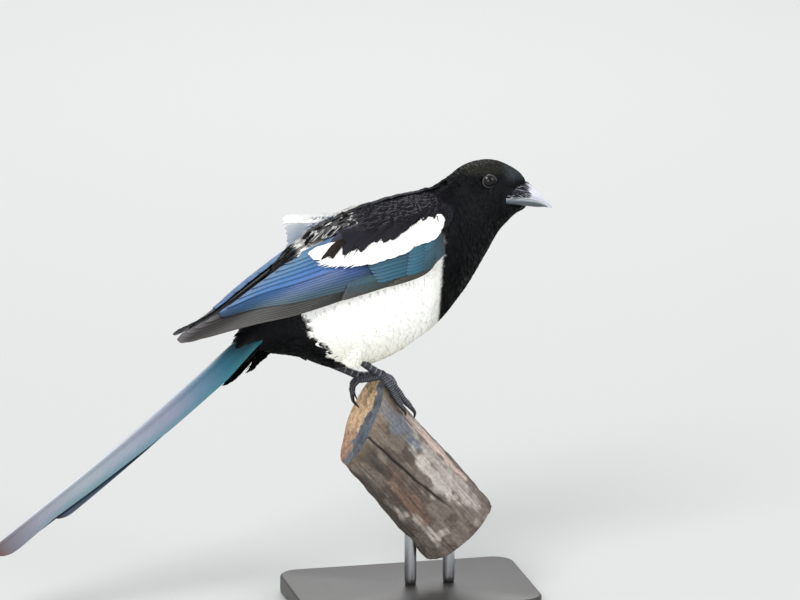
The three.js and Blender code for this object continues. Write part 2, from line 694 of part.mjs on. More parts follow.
const over = (s, degrees, lift) => onBranch(s, degToRad(degrees), lift);
const TOES = {
  right: {
    inner: {
      path: [over(-60, -25, 3), over(-52, -29, 2.6), over(-46, -30, 2.3)],
      claw: [over(-41, -31, 2.2), over(-38, -31, 0.6)],
    },
    middle: {
      path: [over(-58, -15, 3.6), over(-47, -13, 3.2), over(-38, -12, 3.8)],
      claw: [over(-32.5, -11, 3.6), over(-29.5, -11, 0.7)],
    },
    outer: {
      path: [over(-60, -4, 3.6), over(-53, 4, 3.2), over(-46, 8, 2.6)],
      claw: [over(-41, 10, 2.3), over(-38, 11, 0.6)],
    },
    hind: {
      path: [V(-7, -9, 12.2), V(-15, -8, 11)],
      claw: [V(-18.6, -8, 5.5), V(-16, -8, -2)],
    },
  },
  left: {
    inner: {
      path: [over(-63, 17, 3.8), over(-56, 25, 2.9), over(-49, 27, 2.4)],
      claw: [over(-44, 28, 2), over(-41, 28, 0.6)],
    },
    middle: {
      path: [over(-62, 30, 3.8), over(-54, 38, 2.8), over(-44, 42, 2.4)],
      claw: [over(-39, 43, 2), over(-36, 44, 0.6)],
    },
    outer: {
      path: [over(-59, 46, 3.8), over(-52, 55, 2.6), over(-46, 60, 2.4)],
      claw: [over(-41, 62, 2), over(-38, 63, 0.6)],
    },
    hind: {
      path: [V(-13, 14.5, 3.4), V(-14.4, 14, -3)],
      claw: [V(-13.6, 14, -9), V(-9.6, 14, -14)],
    },
  },
};
const TOE_RADII = [2.5, 2.35, 2.55, 2.1, 2.35, 1.9, 2];
const CLAW_RADII = [1.6, 1.35, 1.05, 0.7, 0.3];

function toeOf(leg, toe, grow) {
  const path = [V(...leg.pad), ...toe.path];
  const end = path.at(-1).clone().sub(path.at(-2)).normalize();
  path.at(-1).addScaledVector(end, grow);
  return tube(path, TOE_RADII.map((radius) => radius + grow), 6);
}

function foot(leg, toes, grow = 0) {
  const knuckle = new THREE.SphereGeometry(LEG.joint + 0.6 + grow, 8, 6);
  knuckle.translate(...leg.pad);
  return fuse([solidOfGeometry(knuckle), ...Object.values(toes).map((toe) => toeOf(leg, toe, grow))]);
}

function claw(toe) {
  const end = toe.path.at(-1);
  const ahead = toe.claw[0].clone().sub(end).normalize();
  const start = end.clone().addScaledVector(ahead, GAP + 0.15);
  return tube([start, ...toe.claw], CLAW_RADII, 7);
}

// Stand

function base() {
  const { length, width, height, corner, bevel } = BASE;
  const [x, y] = [length / 2 - bevel, width / 2 - bevel];
  const outline = new THREE.Shape();
  outline.moveTo(-x + corner, -y);
  outline.lineTo(x - corner, -y);
  outline.absarc(x - corner, -y + corner, corner, -Math.PI / 2, 0);
  outline.absarc(x - corner, y - corner, corner, 0, Math.PI / 2);
  outline.absarc(-x + corner, y - corner, corner, Math.PI / 2, Math.PI);
  outline.absarc(-x + corner, -y + corner, corner, Math.PI, 1.5 * Math.PI);
  const block = new THREE.ExtrudeGeometry(outline, {
    depth: height - bevel,
    bevelThickness: bevel,
    bevelSize: bevel,
    bevelSegments: 1,
    curveSegments: 5,
  });
  block.translate(-FEET.x, 0, -FEET.z);
  return solidOfGeometry(block).trimByPlane([0, 0, 1], -FEET.z);
}

function rod(x, grow = 0) {
  const bottom = BASE.height + GAP - FEET.z;
  const top = onBranchUnderside(x) + ROD.sunk + grow;
  const bar = new THREE.CylinderGeometry(ROD.radius + grow, ROD.radius + grow, top - bottom, 16);
  bar.rotateX(Math.PI / 2);
  bar.translate(x, 0, (top + bottom) / 2);
  return solidOfGeometry(bar);
}

// The height of the branch's underside, or of its sawn end, over a place on the base
function onBranchUnderside(x) {
  const low = onBranch(0, Math.PI);
  const side = low.z - (x - low.x) * Math.tan(fall);
  const end = onBranch(BRANCH.bottom, 0, 0, 0);
  const sawn = end.z + ((x - end.x) / Math.tan(fall));
  return Math.max(side, sawn);
}

// The assembled model

const root = new THREE.Group();
root.position.set(FEET.x, 0, FEET.z);

function put(name, solid, look) {
  const made = solid.getMesh();
  const geometry = new THREE.BufferGeometry();
  geometry.setAttribute("position", new THREE.BufferAttribute(new Float32Array(made.vertProperties), 3));
  geometry.setIndex(new THREE.BufferAttribute(new Uint32Array(made.triVerts), 1));
  geometry.computeVertexNormals();
  const mesh = new THREE.Mesh(geometry, new THREE.MeshStandardMaterial(COLOURS[look]));
  mesh.name = name;
  root.add(mesh);
}

const flesh = wholeBody(CLEAR);
put("rump", largest(rump()), "black");
put("torso", bodySpan(SPLIT.torso, SPLIT.neck - CUT, 8), "white");
put("neck", bodySpan(SPLIT.neck, SPLIT.head - CUT, 5), "black");
put("head", head(), "black");
put("bill_upper", upperBill(), "bill");
put("bill_lower", lowerBill(), "bill");
put("tail", largest(cut(tail(), flesh, ...tailCoverts(CLEAR))), "tail");

const log = cut(branch(), ...ROD.places.map((x) => rod(x, GAP)));
const logRoom = branch(CLEAR);
put("perch", largest(log), "wood");

const shoulderRoom = shoulderPlate(SHOULDER.inner - CLEAR, SHOULDER_ROOM.outer, SHOULDER_ROOM.wider);
const foldedWing = largest(cut(wing(), flesh, shoulderRoom));
for (const [side, name, leg] of [[-1, "right", RIGHT], [1, "left", LEFT]]) {
  const turned = (solid) => (side < 0 ? solid : solid.mirror([0, 1, 0]));
  put(`wing_${name}`, turned(foldedWing), "blue");
  put(`scapulars_${name}`, turned(largest(cut(shoulder(leg.ruffle), flesh))), "white");
  put(`eye_${name}`, eyeball(side), "eye");
  put(`thigh_${name}`, largest(cut(thigh(leg), flesh)), "black");
  const toes = TOES[name];
  const footRoom = foot(leg, toes, CLEAR);
  put(`foot_${name}`, largest(cut(foot(leg, toes), logRoom)), "leg");
  put(`tarsus_${name}`, largest(cut(tarsus(leg), footRoom, flesh, thigh(leg, CLEAR), logRoom)), "leg");
  for (const [toe, shape] of Object.entries(toes)) {
    put(`claw_${name}_${toe}`, largest(cut(claw(shape), logRoom, footRoom)), "bill");
  }
}

put("stand_base", base(), "base");
ROD.places.forEach((x, i) => put(`stand_rod_${i + 1}`, rod(x), "steel"));

export default root;
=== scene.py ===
"""The looks of a life-size Eurasian magpie on a broken branch and a plain stand.

Shapes are worked out in the bird's own millimetres, where it faces +X, its left is +Y and +Z is up,
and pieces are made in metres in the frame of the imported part.
"""

import collections
import itertools
import math

import bpy
import numpy as np
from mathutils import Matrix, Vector


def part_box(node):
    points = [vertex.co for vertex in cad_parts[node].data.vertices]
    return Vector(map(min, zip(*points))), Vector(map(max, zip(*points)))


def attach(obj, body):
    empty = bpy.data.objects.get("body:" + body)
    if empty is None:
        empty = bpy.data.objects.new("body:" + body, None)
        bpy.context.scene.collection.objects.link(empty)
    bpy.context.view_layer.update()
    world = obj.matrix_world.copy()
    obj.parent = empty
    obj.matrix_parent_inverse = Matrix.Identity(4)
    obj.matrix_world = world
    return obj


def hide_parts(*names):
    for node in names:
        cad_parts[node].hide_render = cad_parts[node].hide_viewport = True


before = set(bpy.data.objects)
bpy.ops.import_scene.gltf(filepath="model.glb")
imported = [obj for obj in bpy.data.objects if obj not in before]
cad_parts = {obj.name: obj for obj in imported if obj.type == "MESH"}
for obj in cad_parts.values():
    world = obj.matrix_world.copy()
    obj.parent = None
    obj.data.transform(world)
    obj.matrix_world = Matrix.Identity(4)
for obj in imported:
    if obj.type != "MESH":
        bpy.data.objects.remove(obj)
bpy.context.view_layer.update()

RANDOM = np.random.default_rng(11)

# Where the bird's own origin lies over the stand, in millimetres
FEET = np.array([-22.0, 0.0, 146.0])
RIGHT, LEFT = -1, 1

# Body from tail to bill: back point, belly point (both x, z), half width, share that the back is broader
BODY = np.array([
    [-92, 50, -80, 33, 12, 0],
    [-78, 76, -56, 29, 22, 0],
    [-58, 103, -33, 20, 31, 0.06],
    [-34, 116, -8, 20, 36, 0.12],
    [-8, 126, 16, 29.5, 37, 0.14],
    [14, 131, 38, 45.5, 34, 0.14],
    [32, 134, 56, 66, 29, 0.12],
    [46, 142, 69, 86, 23, 0.06],
    [57, 150, 79.8, 104.2, 19, 0],
    [68, 153.5, 86.8, 112, 17, 0],
    [80, 153, 92, 116.4, 13.4, 0],
    [92, 147, 96.3, 118.4, 8.8, 0],
    [99.5, 140.2, 100, 119.6, 5.6, 0],
])
# How deep the skin lies under the coat, in millimetres, and the fineness of its mesh in metres
SKIN_DEPTH, SKIN_VOXEL = {"body": 2.4, "head": 1.3}, 0.0013

# Folded right wing from the wrist to the tip: lower edge, upper edge, outward swell
WING = np.array([
    [37, -33, 101, 34, -27, 124, 2],
    [22, -37.5, 88.8, 24, -28, 124, 3.5],
    [-2.7, -40, 82.5, 3, -30, 118, 4.5],
    [-32.7, -39, 74.3, -27, -25, 110, 5.5],
    [-62, -34, 65.2, -52, -13, 100, 6.5],
    [-86.2, -27, 58.9, -76, -5.5, 84, 5.5],
    [-116.8, -16, 48.6, -108, -6, 61, 1.5],
    [-137.2, -9, 41.3, -136.6, -8, 44, 0],
])
# The white band on the folded wing: its upper and lower edge as station and share of the chord
BAND_TOP = np.array([
    (-0.12, 0.66), (0.05, 0.72), (0.2, 0.84), (0.45, 0.96), (0.83, 1.0), (1.45, 0.94), (1.93, 0.82),
    (2.2, 0.8), (2.4, 0.86), (2.6, 0.76), (3.0, 0.7), (3.15, 0.78), (3.42, 0.68), (3.52, 0.9), (3.95, 0.8),
])
BAND_LOW = np.array([
    (-0.12, 0.78), (0.27, 0.67), (0.72, 0.56), (1.1, 0.52), (1.48, 0.54), (2.06, 0.49),
    (2.31, 0.44), (2.55, 0.47), (3.11, 0.54), (3.45, 0.62), (3.95, 0.8),
])
# How high the white feathers lie over each wing, how high they stand at the back, and between which stations
BAND_LIFT, RUFFLE, RUFFLED = {RIGHT: 4.4, LEFT: 1.0}, {RIGHT: 0.0, LEFT: 21.0}, (2.9, 3.9)

# Tail: where its ridge leaves the body, its fall below level, the slope of its two sides, its sag, how far
# its feathers start inside the body, and the step between their layers
TAIL_RIDGE = np.array([-92.0, 43.9])
TAIL_FALL, TAIL_ROOF = math.radians(38.4), math.tan(math.radians(26))
TAIL_SAG, TAIL_HIDDEN, TAIL_LAYER = 2.5, 9, 0.9
# Length of each pair of tail feathers, and how far out its outer edge lies at the body and at the tail's end
TAIL_PAIRS = ((217, 20.5, 15), (194, 17.5, 12.5), (171, 15.5, 18),
              (146, 14, 17), (122, 12.5, 13), (100, 11.5, 12))
TAIL_END = TAIL_PAIRS[0][0]
# How far the middle feathers reach over to the other side
TAIL_CROSSING = 7.5

# Centre of the right and left eyeball, its radius, and the radius of the opening between the lids
EYE = {"x": 72, "y": 9.3, "z": 142.8, "radius": 6.2, "opening": 4.3}

# Bill: place along it, height of the ridge or the floor, height of the cutting edge, half width
UPPER_BILL = np.array([
    [84, 137.5, 129.2, 11.2],
    [90, 138.6, 129.3, 9.9],
    [96, 138.4, 128.4, 8.3],
    [101.6, 136.2, 126.9, 6.5],
    [106.4, 132.5, 125.4, 5.1],
    [110.5, 129, 123, 3.7],
    [114, 125.5, 120.6, 2.4],
    [116.4, 122.3, 119.2, 1.2],
    [117.5, 119.9, 118.9, 0.4],
])
LOWER_BILL = np.array([
    [84, 123.2, 129.2, 10.8],
    [92, 121.9, 129, 9.1],
    [100.2, 121.1, 127.2, 6.5],
    [107.1, 120, 125.1, 4.5],
    [112.3, 119.8, 121.8, 2.6],
    [114.8, 119.2, 120, 1.2],
])

# Pad of the foot and heel, and hip and knee of the feathered thigh with its half width there
LEGS = {
    RIGHT: {"pad": (0, -10, 14), "heel": (-35, -20.3, 41),
            "hip": (-12, -25, 52, 15), "knee": (-22, -18, 28, 6.5)},
    LEFT: {"pad": (-8, 15, 7), "heel": (-50, 21.6, 25.5),
           "hip": (-28, 24, 50, 16), "knee": (-47, 21, 26, 6.5)},
}
# How much slimmer and farther in the thigh's feathers start at the hip
THIGH_SUNK, HIP_INWARD = 8, np.array([1, 0.8, 1, 1])
SIDE_NAME = {RIGHT: "right", LEFT: "left"}

# Branch: a point of its axis, its fall, radius and where it is cut. Break: a point and its slope.
BRANCH = {"x": 21, "z": -58, "fall": math.radians(50.7), "radius": 28, "bottom": 52}
BREAK = {"x": 1.6, "z": 9.9, "slope": math.radians(65.6)}
BASE = {"length": 160, "width": 104, "height": 12, "corner": 14, "bevel": 1.5}
RODS, ROD_RADIUS = (48, 22), 4


# Numbers

def smooth(low, high, value):
    """0 below low, 1 above high and a soft step between them. low may be the larger one."""
    share = np.clip((np.asarray(value, float) - low) / (high - low), 0, 1)
    return share * share * (3 - 2 * share)


def mix(a, b, share):
    return a + (b - a) * share


def paint(tint, over, share):
    """One colour over another, with a share for each point."""
    return mix(tint, over, np.asarray(share)[..., None])


def unit(v):
    return v / np.maximum(np.linalg.norm(v, axis=-1, keepdims=True), 1e-9)


def along(values, t):
    """Smooth values between stations, with the end spans carried on straight."""
    values, t = np.asarray(values, float), np.asarray(t, float)
    last = len(values) - 1
    i = np.clip(np.floor(t).astype(int), 0, last - 1)
    p0, p1, p2, p3 = (values[np.clip(i + k, 0, last)] for k in (-1, 0, 1, 2))
    f = t - i
    if values.ndim > 1:
        f = f[..., None]
    bend = p1 + 0.5 * f * (p2 - p0 + f * (2 * p0 - 5 * p1 + 4 * p2 - p3 + f * (3 * p1 - p0 - 3 * p2 + p3)))
    return np.where((f < 0) | (f > 1), p1 + (p2 - p1) * f, bend)


def value_noise(p, seed=0):
    """Smooth noise from -1 to 1 at points, with a bump about every unit."""
    cell = np.floor(p).astype(np.int64)
    f = p - cell
    f = f * f * (3 - 2 * f)
    total = np.zeros(p.shape[:-1])
    for corner in itertools.product((0, 1), repeat=3):
        k = cell + np.array(corner)
        n = (k[..., 0] * 73856093) ^ (k[..., 1] * 19349663) ^ (k[..., 2] * 83492791) ^ (seed * 97531)
        n = ((n ^ (n >> 13)) * 1274126177) & 0xFFFFFFFF
        value = ((n ^ (n >> 16)) & 0xFFFF) / 32767.5 - 1
        total += value * np.prod(np.where(np.array(corner) == 1, f, 1 - f), axis=-1)
    return total


def layered_noise(p, layers=3, seed=0):
    return sum(value_noise(p * 2**k, seed + k) * 0.5**k for k in range(layers))


def colour(red, green, blue):
    """A colour as the eye reads it on a screen, 0 to 255, in linear light."""
    c = np.array((red, green, blue)) / 255
    return np.where(c <= 0.04045, c / 12.92, ((c + 0.055) / 1.055) ** 2.4)


def ramp(*colours):
    return [colour(*c) for c in colours]


def plain(tint, points):
    """One colour for all of the points."""
    return np.tile(tint, points.shape[:-1] + (1,))


def blended(places, colours, t):
    """Colours between the given places, for every t."""
    table = np.array(colours)
    return np.stack([np.interp(t, places, table[:, k]) for k in range(3)], axis=-1)


# Surfaces that feathers lie on

def body_at(t, turn, lift=0.0):
    """Body surface: station t, turn from the back (0) by the left side (half pi) to the belly (pi)."""
    s = along(BODY, t)
    back, belly = s[..., 0:2], s[..., 2:4]
    up = back - belly
    depth = np.linalg.norm(up, axis=-1)
    up = up / depth[..., None]
    reach = (depth / 2 + lift) * np.cos(turn)
    middle = (back + belly) / 2
    side = (s[..., 4] + lift) * np.sin(turn) * (1 + s[..., 5] * np.cos(turn))
    return np.stack([middle[..., 0] + up[..., 0] * reach, side, middle[..., 1] + up[..., 1] * reach], axis=-1)


def body_speed(t, turn):
    """Millimetres for a whole station, and for a whole radian round the body."""
    step = 0.01
    down = np.linalg.norm(body_at(t + step, turn) - body_at(t - step, turn), axis=-1) / (2 * step)
    round_it = np.linalg.norm(body_at(t, turn + step) - body_at(t, turn - step), axis=-1) / (2 * step)
    return np.maximum(down, 3), np.maximum(round_it, 3)


def wing_bare(u, share):
    s = along(WING, u)
    low, high = s[..., 0:3], s[..., 3:6]
    back = along(WING[:, 0:3], u + 0.05) - along(WING[:, 0:3], u - 0.05)
    out = unit(np.cross(unit(high - low), back))
    swell = np.maximum(0, s[..., 6]) * np.sin(np.pi * np.clip(share, 0, 1))
    return low + (high - low) * share[..., None] + out * swell[..., None]


def wing_at(u, up, lift=0.0):
    """Right wing: station u, millimetres up from its lower edge, and millimetres out from it."""
    u, up = np.broadcast_arrays(np.asarray(u, float), np.asarray(up, float))
    s = along(WING, u)
    share = up / np.linalg.norm(s[..., 3:6] - s[..., 0:3], axis=-1)
    step = 0.02
    down = wing_bare(u + step, share) - wing_bare(u - step, share)
    across = wing_bare(u, share + step) - wing_bare(u, share - step)
    return wing_bare(u, share) + unit(np.cross(across, down)) * np.asarray(lift)[..., None]


def wing_chord(u):
    s = along(WING, u)
    return np.linalg.norm(s[..., 3:6] - s[..., 0:3], axis=-1)


def tail_at(s, side, lift=0.0):
    """Tail: millimetres down from the body, millimetres to the left, and height over the roof of the tail."""
    sag = TAIL_SAG * np.sin(np.pi * np.clip(s, 0, TAIL_END) / TAIL_END)
    high = lift - sag - (np.sqrt(side**2 + 4) - 2) * TAIL_ROOF
    x = TAIL_RIDGE[0] - math.cos(TAIL_FALL) * s - math.sin(TAIL_FALL) * high
    z = TAIL_RIDGE[1] - math.sin(TAIL_FALL) * s + math.cos(TAIL_FALL) * high
    return np.stack([x, side + 0 * s, z], axis=-1)


def thigh_surface(leg):
    """The feathered thigh: share down from the hip, turn round it, and lift."""
    hip, knee = np.array(leg["hip"], float) * HIP_INWARD, np.array(leg["knee"], float)
    axis = unit(knee[:3] - hip[:3])
    side = unit(np.array([0, 1, 0]) - axis * axis[1])
    front = np.cross(axis, side)
    bulge = np.array([0.55, 0.9, 1, 0.85, 0.5, 0])

    def at(s, turn, lift=0.0):
        r = mix(knee[3], hip[3] - THIGH_SUNK, along(bulge, s * 5)) + lift
        middle = hip[:3] + (knee[:3] - hip[:3]) * s[..., None]
        return middle + side * (r * np.cos(turn))[..., None] + front * (r * np.sin(turn))[..., None]

    return at


def mirrored(surface, side):
    """The same surface on the bird's right (-1) or left (+1), from one made for the right."""
    flip = np.array([1, -side, 1])
    return lambda *place: surface(*place) * flip


# Parts: arrays of points, faces, colours, grain and unwrap, joined before they become a piece

def full_turn(steps):
    """Angles of a full turn, without the last one."""
    return np.linspace(0, 2 * np.pi, steps, endpoint=False)


def outward(points, faces):
    """The faces of a closed part, turned about if they point inwards."""
    a, b, c = (points[faces[:, k]] for k in range(3))
    return faces[:, ::-1] if np.einsum("ij,ij->i", a, np.cross(b, c)).sum() < 0 else faces


def ring_faces(rows, ring, closed=False):
    """Faces between rings of points, and from the last ring to the first if closed."""
    j = np.arange(ring)
    k = (j + 1) % ring
    start = np.arange(rows if closed else rows - 1)[:, None] * ring
    after = (start + ring) % (rows * ring)
    first = np.stack([start + j, start + k, after + k], axis=-1)
    second = np.stack([start + j, after + k, after + j], axis=-1)
    return np.concatenate([first.reshape(-1, 3), second.reshape(-1, 3)])


def cap_faces(rows, ring):
    """Fans of faces over the first and the last ring."""
    j = np.arange(1, ring - 1)
    near = np.stack([0 * j, j + 1, j], axis=-1)
    far = np.stack([0 * j, j, j + 1], axis=-1) + (rows - 1) * ring
    return np.concatenate([near, far])


def blades(surface, a, b, lift, thick, tint, grain, unwrap):
    """Thin closed vanes, one for each first index. a, b and lift place the rows and columns of the top on the
    surface. The underside has no edge columns, and rim marks the two edges, which are creased."""
    count, rows, columns = a.shape

    def under(values):
        if columns > 2:
            return values[:, :, columns - 2 : 0 : -1]
        return values.mean(axis=2, keepdims=True)

    below = surface(under(a), under(b), under(lift) - under(thick))
    points = np.concatenate([surface(a, b, lift), below], axis=2)
    ring = points.shape[2]
    sides, caps = ring_faces(rows, ring), cap_faces(rows, ring)
    one = outward(points[0].reshape(-1, 3), np.concatenate([sides, caps]))
    faces = (one[None] + (np.arange(count) * rows * ring)[:, None, None]).reshape(-1, 3)
    both = lambda values: np.concatenate([values, under(values)], axis=2)
    uv = both(unwrap).reshape(-1, 2)
    corner_uv = uv[faces]
    is_cap = np.tile(np.arange(len(one)) >= len(sides), count)
    is_under = (faces % ring) >= columns
    tall = np.abs(unwrap[..., 1].max() - unwrap[..., 1].min()) if count == 1 else PATCH
    corner_uv[..., 1] += 0.15 * tall * (is_cap[:, None] & is_under)
    rim = np.zeros(ring, int)
    rim[0], rim[columns - 1] = 1, 2
    return {
        "points": points.reshape(-1, 3),
        "faces": faces,
        "tint": both(tint).reshape(-1, 3),
        "grain": both(grain).reshape(-1, 3),
        "uv": corner_uv,
        "rim": np.tile(rim, count * rows),
    }


def tubes(rings, tint):
    """A closed solid through rings of points, with a tint for each point."""
    rows, ring = rings.shape[:2]
    j = np.arange(ring)
    k = (j + 1) % ring
    total, last = rows * ring, (rows - 1) * ring
    near = np.stack([0 * j + total, k, j], axis=-1)
    far = np.stack([0 * j + total + 1, last + j, last + k], axis=-1)
    faces = np.concatenate([ring_faces(rows, ring), near, far])
    points = np.concatenate([rings.reshape(-1, 3), [rings[0].mean(axis=0), rings[-1].mean(axis=0)]])
    tints = np.concatenate([tint.reshape(-1, 3), tint[0, :1], tint[-1, :1]])
    return {"points": points, "faces": outward(points, faces), "tint": tints}


def joined(parts):
    """Parts as one part."""
    starts = np.cumsum([0] + [len(part["points"]) for part in parts])
    made = {key: np.concatenate([part[key] for part in parts]) for key in parts[0] if key != "faces"}
    return {**made, "faces": np.concatenate([part["faces"] + start for part, start in zip(parts, starts)])}


def give(mesh, name, kind, field, values):
    """An attribute of the mesh's points."""
    layer = mesh.attributes.get(name) or mesh.attributes.new(name, kind, "POINT")
    layer.data.foreach_set(field, values.astype(np.float32).ravel())


def give_tint(mesh, tint):
    rgba = np.concatenate([np.clip(tint, 0, 1), np.ones((len(tint), 1))], axis=1)
    give(mesh, "tint", "FLOAT_COLOR", "color", rgba)


def give_unwrap(mesh, uv):
    mesh.uv_layers.new(name="OFBake").data.foreach_set("uv", uv.astype(np.float32).ravel())


def piece(name, part, material, slot, *nodes):
    """A Blender object from a part. It rides on the one body and stands for the given nodes."""
    mesh = bpy.data.meshes.new(name)
    points = ((part["points"] + FEET) / 1000).astype(np.float32)
    faces = part["faces"]
    mesh.vertices.add(len(points))
    mesh.vertices.foreach_set("co", points.ravel())
    mesh.loops.add(3 * len(faces))
    mesh.loops.foreach_set("vertex_index", faces.astype(np.int32).ravel())
    mesh.polygons.add(len(faces))
    mesh.polygons.foreach_set("loop_start", np.arange(0, 3 * len(faces), 3, dtype=np.int32))
    mesh.polygons.foreach_set("use_smooth", np.ones(len(faces), bool))
    mesh.update(calc_edges=True)
    if "rim" in part:
        ends = np.zeros(2 * len(mesh.edges), np.int32)
        mesh.edges.foreach_get("vertices", ends)
        rim = part["rim"][ends].reshape(-1, 2)
        crease = mesh.attributes.new("sharp_edge", "BOOLEAN", "EDGE")
        crease.data.foreach_set("value", (rim[:, 0] == rim[:, 1]) & (rim[:, 0] > 0))
    give_tint(mesh, part["tint"])
    if "grain" in part:
        give(mesh, "grain", "FLOAT_VECTOR", "vector", part["grain"])
    if "uv" in part:
        give_unwrap(mesh, part["uv"])
    mesh.materials.append(material)
    made = bpy.data.objects.new(name, mesh)
    bpy.context.scene.collection.objects.link(made)
    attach(made, "root")
    if nodes:
        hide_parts(*nodes)
    return made


# Colours of the plumage

BLACK = colour(8, 9, 12)
DEEP_BLACK = colour(4, 5, 7)
# Painted sheen: the black of the crown and of the brow lightened where light from above catches them
CROWN_SHEEN = colour(40, 40, 36)
BROW_SHEEN = colour(62, 68, 72)
# The back's black lightened by painted bluish sheen of the sky, and a lighter painted sheen
MANTLE = colour(22, 22, 28)
MANTLE_SHEEN = colour(40, 40, 50)
WHITE = colour(250, 250, 246)
# Creamy white of painted light bounced up onto the lower belly
CREAM_BOUNCE = colour(240, 238, 222)
RUMP_GREY = colour(150, 148, 150)
BROWN = colour(60, 47, 40)

# Crown, brow, breast, mantle and vent: colour, and where each starts and is full along and up. The crown and
# the brow are the black lightened by painted sheen of light from above, and the mantle is the black with
# painted bluish sheen.
COAT_PATCHES = (
    (CROWN_SHEEN, (52, 60), (144.5, 149.5)),
    (BROW_SHEEN, (80, 90), (139, 145)),
    (DEEP_BLACK, (20, 30), (100, 80)),
    (MANTLE, (44, 32), (98, 112)),
    (DEEP_BLACK, (0, -20), (60, 40)),
)
# Borders of the white belly: its front from the highest to the lowest point, and its rear by height
BELLY_FRONT = {"high": (44.1, 105), "low": (40.6, 47), "aside": 0.231}
BELLY_REAR_Z = (20, 27, 33, 41, 48, 64)
BELLY_REAR_X = (-22, -28.5, -37.5, -42, -50.5, -56)


def belly_white(p):
    """How white the coat is at points: belly and flanks, between the black breast and the black vent."""
    x, z = p[..., 0], p[..., 2]
    (high_x, high_z), (low_x, low_z) = BELLY_FRONT["high"], BELLY_FRONT["low"]
    front = mix(low_x, high_x, (z - low_z) / (high_z - low_z)) - BELLY_FRONT["aside"] * np.abs(p[..., 1])
    rear = np.interp(z, BELLY_REAR_Z, BELLY_REAR_X)
    return smooth(front + 0.4, front - 0.4, x) * smooth(rear - 0.8, rear + 0.8, x) * smooth(114, 104, z)


def rump_patch(p):
    """How much of the pale, ruffled patch of the lower back shows at points."""
    x, z = p[..., 0], p[..., 2]
    return smooth(-66, -58, x) * smooth(-28, -38, x) * smooth(88, 96, z)


def coat_tint(p, chance):
    """Colour of a body feather seen at p; chance (0 to 1) varies from feather to feather."""
    x, z = p[..., 0], p[..., 2]
    shade = (0.8 + 0.4 * chance)[..., None]
    tint = BLACK * shade
    for patch, x_edge, z_edge in COAT_PATCHES:
        tint = paint(tint, patch * shade, smooth(*x_edge, x) * smooth(*z_edge, z))
    grey = rump_patch(p) * (chance > 0.6)
    tint = paint(tint, RUMP_GREY * (0.5 * chance)[..., None], grey)
    # Painted reflected light: the white turns creamy towards the bottom of the body
    painted_bounce = smooth(56, 26, z) * 0.7
    white = paint(WHITE, CREAM_BOUNCE, painted_bounce) * (0.95 + 0.05 * chance)[..., None]
    return paint(tint, white, belly_white(p))


# Materials

def new_material(name):
    made = bpy.data.materials.new(name)
    made.use_nodes = True
    tree = made.node_tree
    return made, tree, tree.nodes["Principled BSDF"]


def node(tree, kind, inputs=None, **settings):
    made = tree.nodes.new(kind)
    for key, value in settings.items():
        setattr(made, key, value)
    for key, value in (inputs or {}).items():
        made.inputs[key].default_value = value
    return made


def set_shader(shader, **values):
    for key, value in values.items():
        shader.inputs[key.replace("_", " ")].default_value = value


def speckled_material(name, place, noise, low, contrast, bump, distance, **looks):
    """Tint of the surface times fine noise, which is also its bump. place gives the socket it lies by."""
    made, tree, shader = new_material(name)
    tint = node(tree, "ShaderNodeAttribute", attribute_name="tint")
    speckle = node(tree, "ShaderNodeTexNoise", noise)
    reach = {"From Min": low, "From Max": 1 - low, "To Min": 1 - contrast, "To Max": 1 + contrast}
    level = node(tree, "ShaderNodeMapRange", reach)
    times = node(tree, "ShaderNodeVectorMath", operation="SCALE")
    links = tree.links
    links.new(place(tree), speckle.inputs["Vector"])
    links.new(speckle.outputs["Fac"], level.inputs["Value"])
    links.new(tint.outputs["Color"], times.inputs[0])
    links.new(level.outputs["Result"], times.inputs["Scale"])
    links.new(times.outputs[0], shader.inputs["Base Color"])
    relief = node(tree, "ShaderNodeBump", {"Strength": bump, "Distance": distance})
    links.new(speckle.outputs["Fac"], relief.inputs["Height"])
    links.new(relief.outputs["Normal"], shader.inputs["Normal"])
    set_shader(shader, **looks)
    return made


def feather_material(name, roughness, fineness, contrast, bump, gloss):
    """Fine streaks that run along the barbs of a feather."""
    def place(tree):
        grain = node(tree, "ShaderNodeAttribute", attribute_name="grain")
        stretch = node(tree, "ShaderNodeVectorMath", {1: (fineness, 0.12, 1)}, operation="MULTIPLY")
        tree.links.new(grain.outputs["Vector"], stretch.inputs[0])
        return stretch.outputs[0]

    noise = {"Scale": 1, "Detail": 2, "Roughness": 0.6}
    return speckled_material(name, place, noise, 0.3, contrast, bump, 0.0004,
                             Roughness=roughness, Specular_IOR_Level=gloss)


def tinted_material(name, scale, contrast, bump, distance, roughness, **gloss):
    """Fine mottling all over."""
    place = lambda tree: node(tree, "ShaderNodeTexCoord").outputs["Object"]
    noise = {"Scale": scale, "Detail": 5, "Roughness": 0.65}
    return speckled_material(name, place, noise, 0.25, contrast, bump, distance, Roughness=roughness, **gloss)


BLACK_COAT = feather_material("black_coat", 0.55, 3.0, 0.16, 0.16, 0.13)
WHITE_COAT = feather_material("white_coat", 0.85, 3.0, 0.035, 0.06, 0.15)
GLOSSY_VANE = feather_material("glossy_vane", 0.42, 2.4, 0.2, 0.22, 0.45)
TAIL_VANE = feather_material("tail_vane", 0.4, 2.0, 0.12, 0.18, 0.45)
HORN = tinted_material("horn", 900, 0.12, 0.15, 0.0003, 0.3, Coat_Weight=0.25)
EYE_GLASS = tinted_material("eye_glass", 300, 0.05, 0.0, 0.0001, 0.05,
                            Coat_Weight=0.3, Specular_IOR_Level=0.15)
LEG_SCALE = tinted_material("leg_scale", 1100, 0.2, 0.35, 0.0004, 0.5)
BARK = tinted_material("bark", 420, 0.35, 0.9, 0.0012, 0.85)
STAND_WOOD = tinted_material("stand_wood", 60, 0.2, 0.2, 0.0004, 0.42)
STEEL = tinted_material("rod_steel", 500, 0.05, 0.05, 0.0001, 0.3, Metallic=1.0)
BLACK_DRESS, WHITE_DRESS = (BLACK_COAT, "plumage_black"), (WHITE_COAT, "plumage_white")


# Laying feathers

